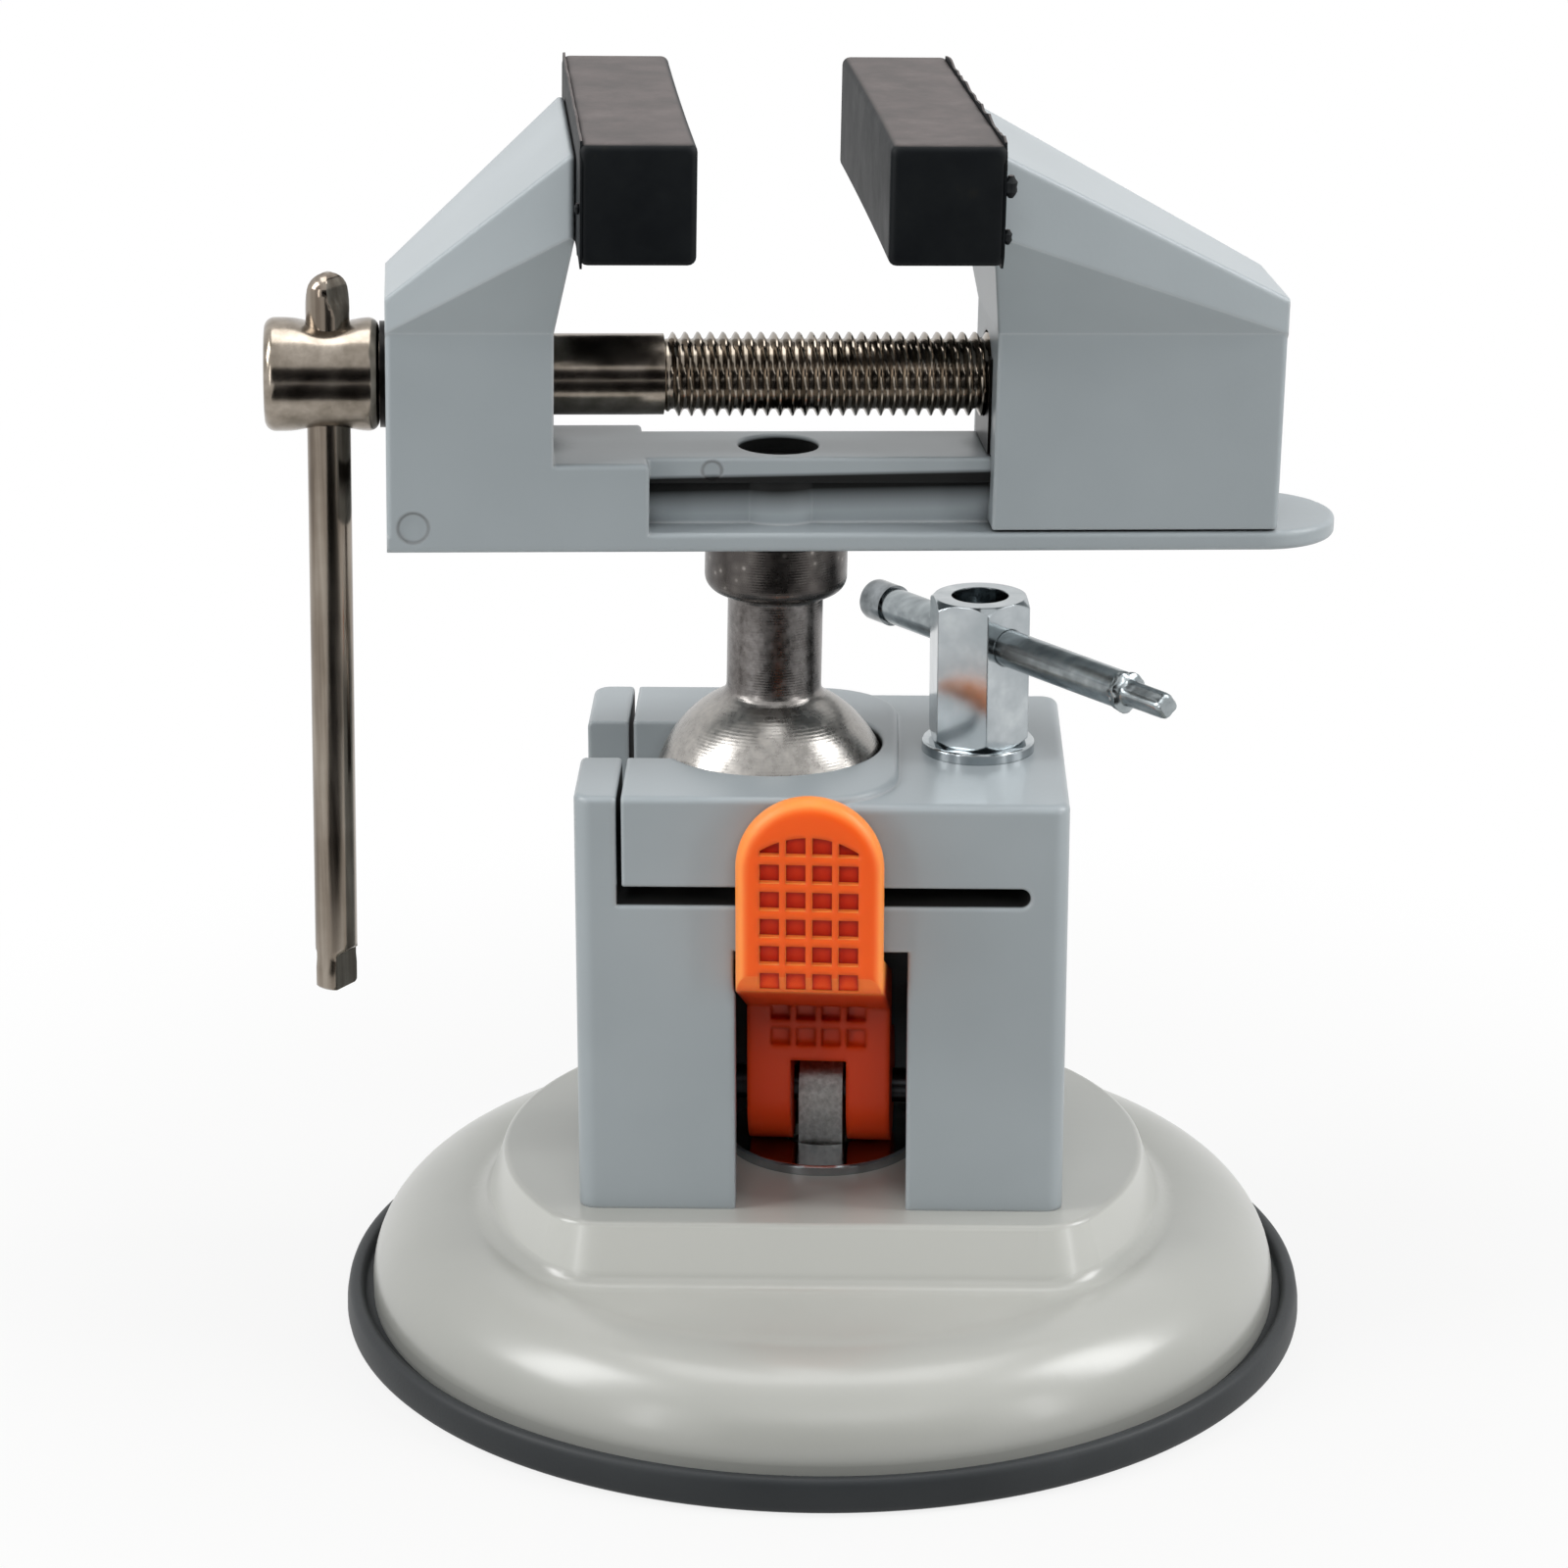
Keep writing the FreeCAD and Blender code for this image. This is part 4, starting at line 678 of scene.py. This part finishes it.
# slices along the pad with how much smaller they are, close together at the rounded ends
ends = [(35.0, 0.9), (34.93, 0.55), (34.7, 0.25), (34.4, 0.08)]
plain = (-34.0, -33.0, -30.0, -25.0, -18.0, -9.0, 0.0, 9.0, 18.0, 25.0, 30.0, 33.0, 34.0)
slices = [(-y, inset) for y, inset in ends] + [(y, 0.0) for y in plain] + ends[::-1]
for name, body, back, outwards in (("fixed_jaw_pad", "head", -29.1, 1),
                                   ("moving_jaw_pad", "moving_jaw", 26.2, -1)):
    parts = [skinned([pad_ring(y, inset, back, outwards) for y, inset in slices])]
    # flash: a ragged fin about 0.3 mm thick round the back face
    fin = []
    outline = [(y, pad_high) for y in range(-34, 35, 2)] + [(35.0, z) for z in range(176, 162, -2)]
    outline += [(y, pad_low) for y in range(34, -35, -2)] + [(-35.0, z) for z in range(163, 177, 2)]
    for y, z in outline:
        tall = chance.uniform(0.15, 0.5) + (0.35 if chance.random() > 0.85 else 0.0)
        rise = 0.0 if abs(y) == pad_half else tall if z == pad_high else -tall
        left, right = back + outwards * 0.1, back + outwards * 0.4
        root_y, root_z = y * 0.97, pad_middle + (z - pad_middle) * 0.9
        fin.append([(left, root_y, root_z), (left, y, z + rise),
                    (right, y, z + rise), (right, root_y, root_z)])
    points = [point for ring in fin for point in ring]
    faces = []
    for r in range(len(fin)):
        start, after = 4 * r, 4 * ((r + 1) % len(fin))
        for k in range(4):
            beside = (k + 1) % 4
            faces.append((start + k, start + beside, after + beside, after + k))
    parts.append((points, faces))
    # two nubs at the near end of the moving pad, and one at that of the fixed pad
    if body == "moving_jaw":
        parts += [lump(back + 0.5, -34.3, 172.2, 1.25), lump(back + 0.3, -34.3, 165.6, 0.85)]
    else:
        parts.append(lump(back - 0.2, -33.6, 169.0, 0.6))
    pad = shaped(name + "_moulded", *joined(parts), head_stand, rubber, body, "pad_rubber")
    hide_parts(name)

# Studio: a plain pale floor under a white surround, broad soft boxes overhead, in front and on
# each side, and a narrow one at each front corner. A dark flag far in front and a dark card on
# the floor give the bright metals something dark to mirror.


def sheet(name, corners, material):
    """A flat sheet of the studio, its corners in metres."""
    mesh = bpy.data.meshes.new(name)
    mesh.from_pydata(corners, [], [(0, 1, 2, 3)])
    mesh.materials.append(material)
    made = bpy.data.objects.new(name, mesh)
    bpy.context.scene.collection.objects.link(made)
    return made


def looked_at(tree):
    """One for rays that show a thing, straight or in a mirror, and zero for those that light it."""
    path = node(tree, "LightPath")
    seen = node(tree, "Math", {"operation": "MAXIMUM"}, i0=(path, "Is Camera Ray"),
                i1=(path, "Is Glossy Ray"))
    return node(tree, "Math", {"operation": "MAXIMUM"}, i0=(seen, 0),
                i1=(path, "Is Transmission Ray"))


# matt white paper: it takes the soft shadow near the object and is lost in white further off
paper, tree, skin, place = finish_of("matt white paper", Roughness=0.9, Specular_IOR_Level=0.0)
skin.inputs["Base Color"].default_value = linear("#c6c6c4")
away = node(tree, "VectorMath", {"operation": "LENGTH"}, i0=(place, "Object"))
fade = node(tree, "MapRange", {"interpolation_type": "SMOOTHSTEP"}, Value=(away, "Value"), i1=0.07,
            i2=0.22, i3=0.84, i4=1.0)
share = node(tree, "Math", {"operation": "MULTIPLY"}, i0=(looked_at(tree), 0), i1=(fade, 0))
white = node(tree, "Emission", Color=(1, 1, 1, 1), Strength=1.0)
mix = node(tree, "MixShader", i0=(share, 0), i1=(skin, 0), i2=(white, 0))
tree.links.new(mix.outputs[0], tree.nodes["Material Output"].inputs["Surface"])
floor = sheet("studio_floor", ((-3.0, -3.0, 0), (3.0, -3.0, 0), (3.0, 3.0, 0), (-3.0, 3.0, 0)),
              paper)
floor.location.z = -0.0002

# black felt: dull and dark, so that bright metal mirrors a dark band
felt, tree, skin, place = finish_of("black felt", Roughness=0.95, Specular_IOR_Level=0.0)
skin.inputs["Base Color"].default_value = linear("#1a1a1a")
for name, corners in (
    ("dark_flag", ((-0.75, -1.25, 0.05), (0.75, -1.25, 0.05), (0.75, -1.25, 0.75),
                   (-0.75, -1.25, 0.75))),
    ("dark_card", ((-0.2, -1.2, 0.002), (0.2, -1.2, 0.002), (0.2, -0.16, 0.002),
                   (-0.2, -0.16, 0.002))),
):
    flag = sheet(name, corners, felt)
    flag.visible_camera = False
    # the card on the floor is there for mirrors only, and takes no light from the object
    flag.visible_diffuse = flag.visible_shadow = name == "dark_flag"

# the surround looks white and gives little light
world = bpy.data.worlds.new("white_surround")
bpy.context.scene.world = world
world.use_nodes = True
tree = world.node_tree
lamp = tree.nodes["Background"]
lamp.inputs["Color"].default_value = (1, 1, 1, 1)
lamp.inputs["Strength"].default_value = 0.06
backdrop = node(tree, "Background", Color=(1, 1, 1, 1), Strength=1.0)
mix = node(tree, "MixShader", i0=(looked_at(tree), 0), i1=(lamp, 0), i2=(backdrop, 0))
tree.links.new(mix.outputs[0], tree.nodes["World Output"].inputs["Surface"])


def soft_box(name, place, size, power, mirrored=True):
    """A rectangular area lamp that faces the middle of the object."""
    light = bpy.data.lights.new(name, "AREA")
    light.shape = "RECTANGLE"
    light.size, light.size_y = size
    light.energy = power
    lamp_object = bpy.data.objects.new(name, light)
    lamp_object.location = place
    lamp_object.visible_glossy = mirrored
    towards = Vector((0, 0, 0.09)) - Vector(place)
    lamp_object.rotation_euler = towards.to_track_quat("-Z", "Y").to_euler()
    bpy.context.scene.collection.objects.link(lamp_object)


soft_box("top_box", (0.0, 0.1, 0.9), (0.7, 0.5), 3.6)
soft_box("front_box", (0.0, -0.95, 0.75), (0.7, 0.3), 4.7, mirrored=False)
soft_box("left_box", (-0.7, -0.1, 0.6), (0.3, 0.5), 4.4)
soft_box("right_box", (0.7, -0.1, 0.6), (0.3, 0.5), 4.4)
soft_box("left_strip", (-0.7, -0.65, 0.3), (0.1, 0.5), 0.9)
soft_box("right_strip", (0.75, -0.65, 0.3), (0.1, 0.5), 1.0)

# Camera: in front of the vise and a little to its left, looking down on it by 19 degrees through
# a long lens.
camera_data = bpy.data.cameras.new("camera")
camera_data.sensor_width = 36.0
camera_data.lens = 102.73
camera_data.clip_start = 0.01
camera = bpy.data.objects.new("camera", camera_data)
camera.location = (-0.05371, -0.60226, 0.28319)
camera.rotation_euler = (math.radians(90 - 18.62), 0, math.radians(-4.56))
bpy.context.scene.collection.objects.link(camera)
bpy.context.scene.camera = camera

bpy.context.scene.view_settings.view_transform = "Standard"
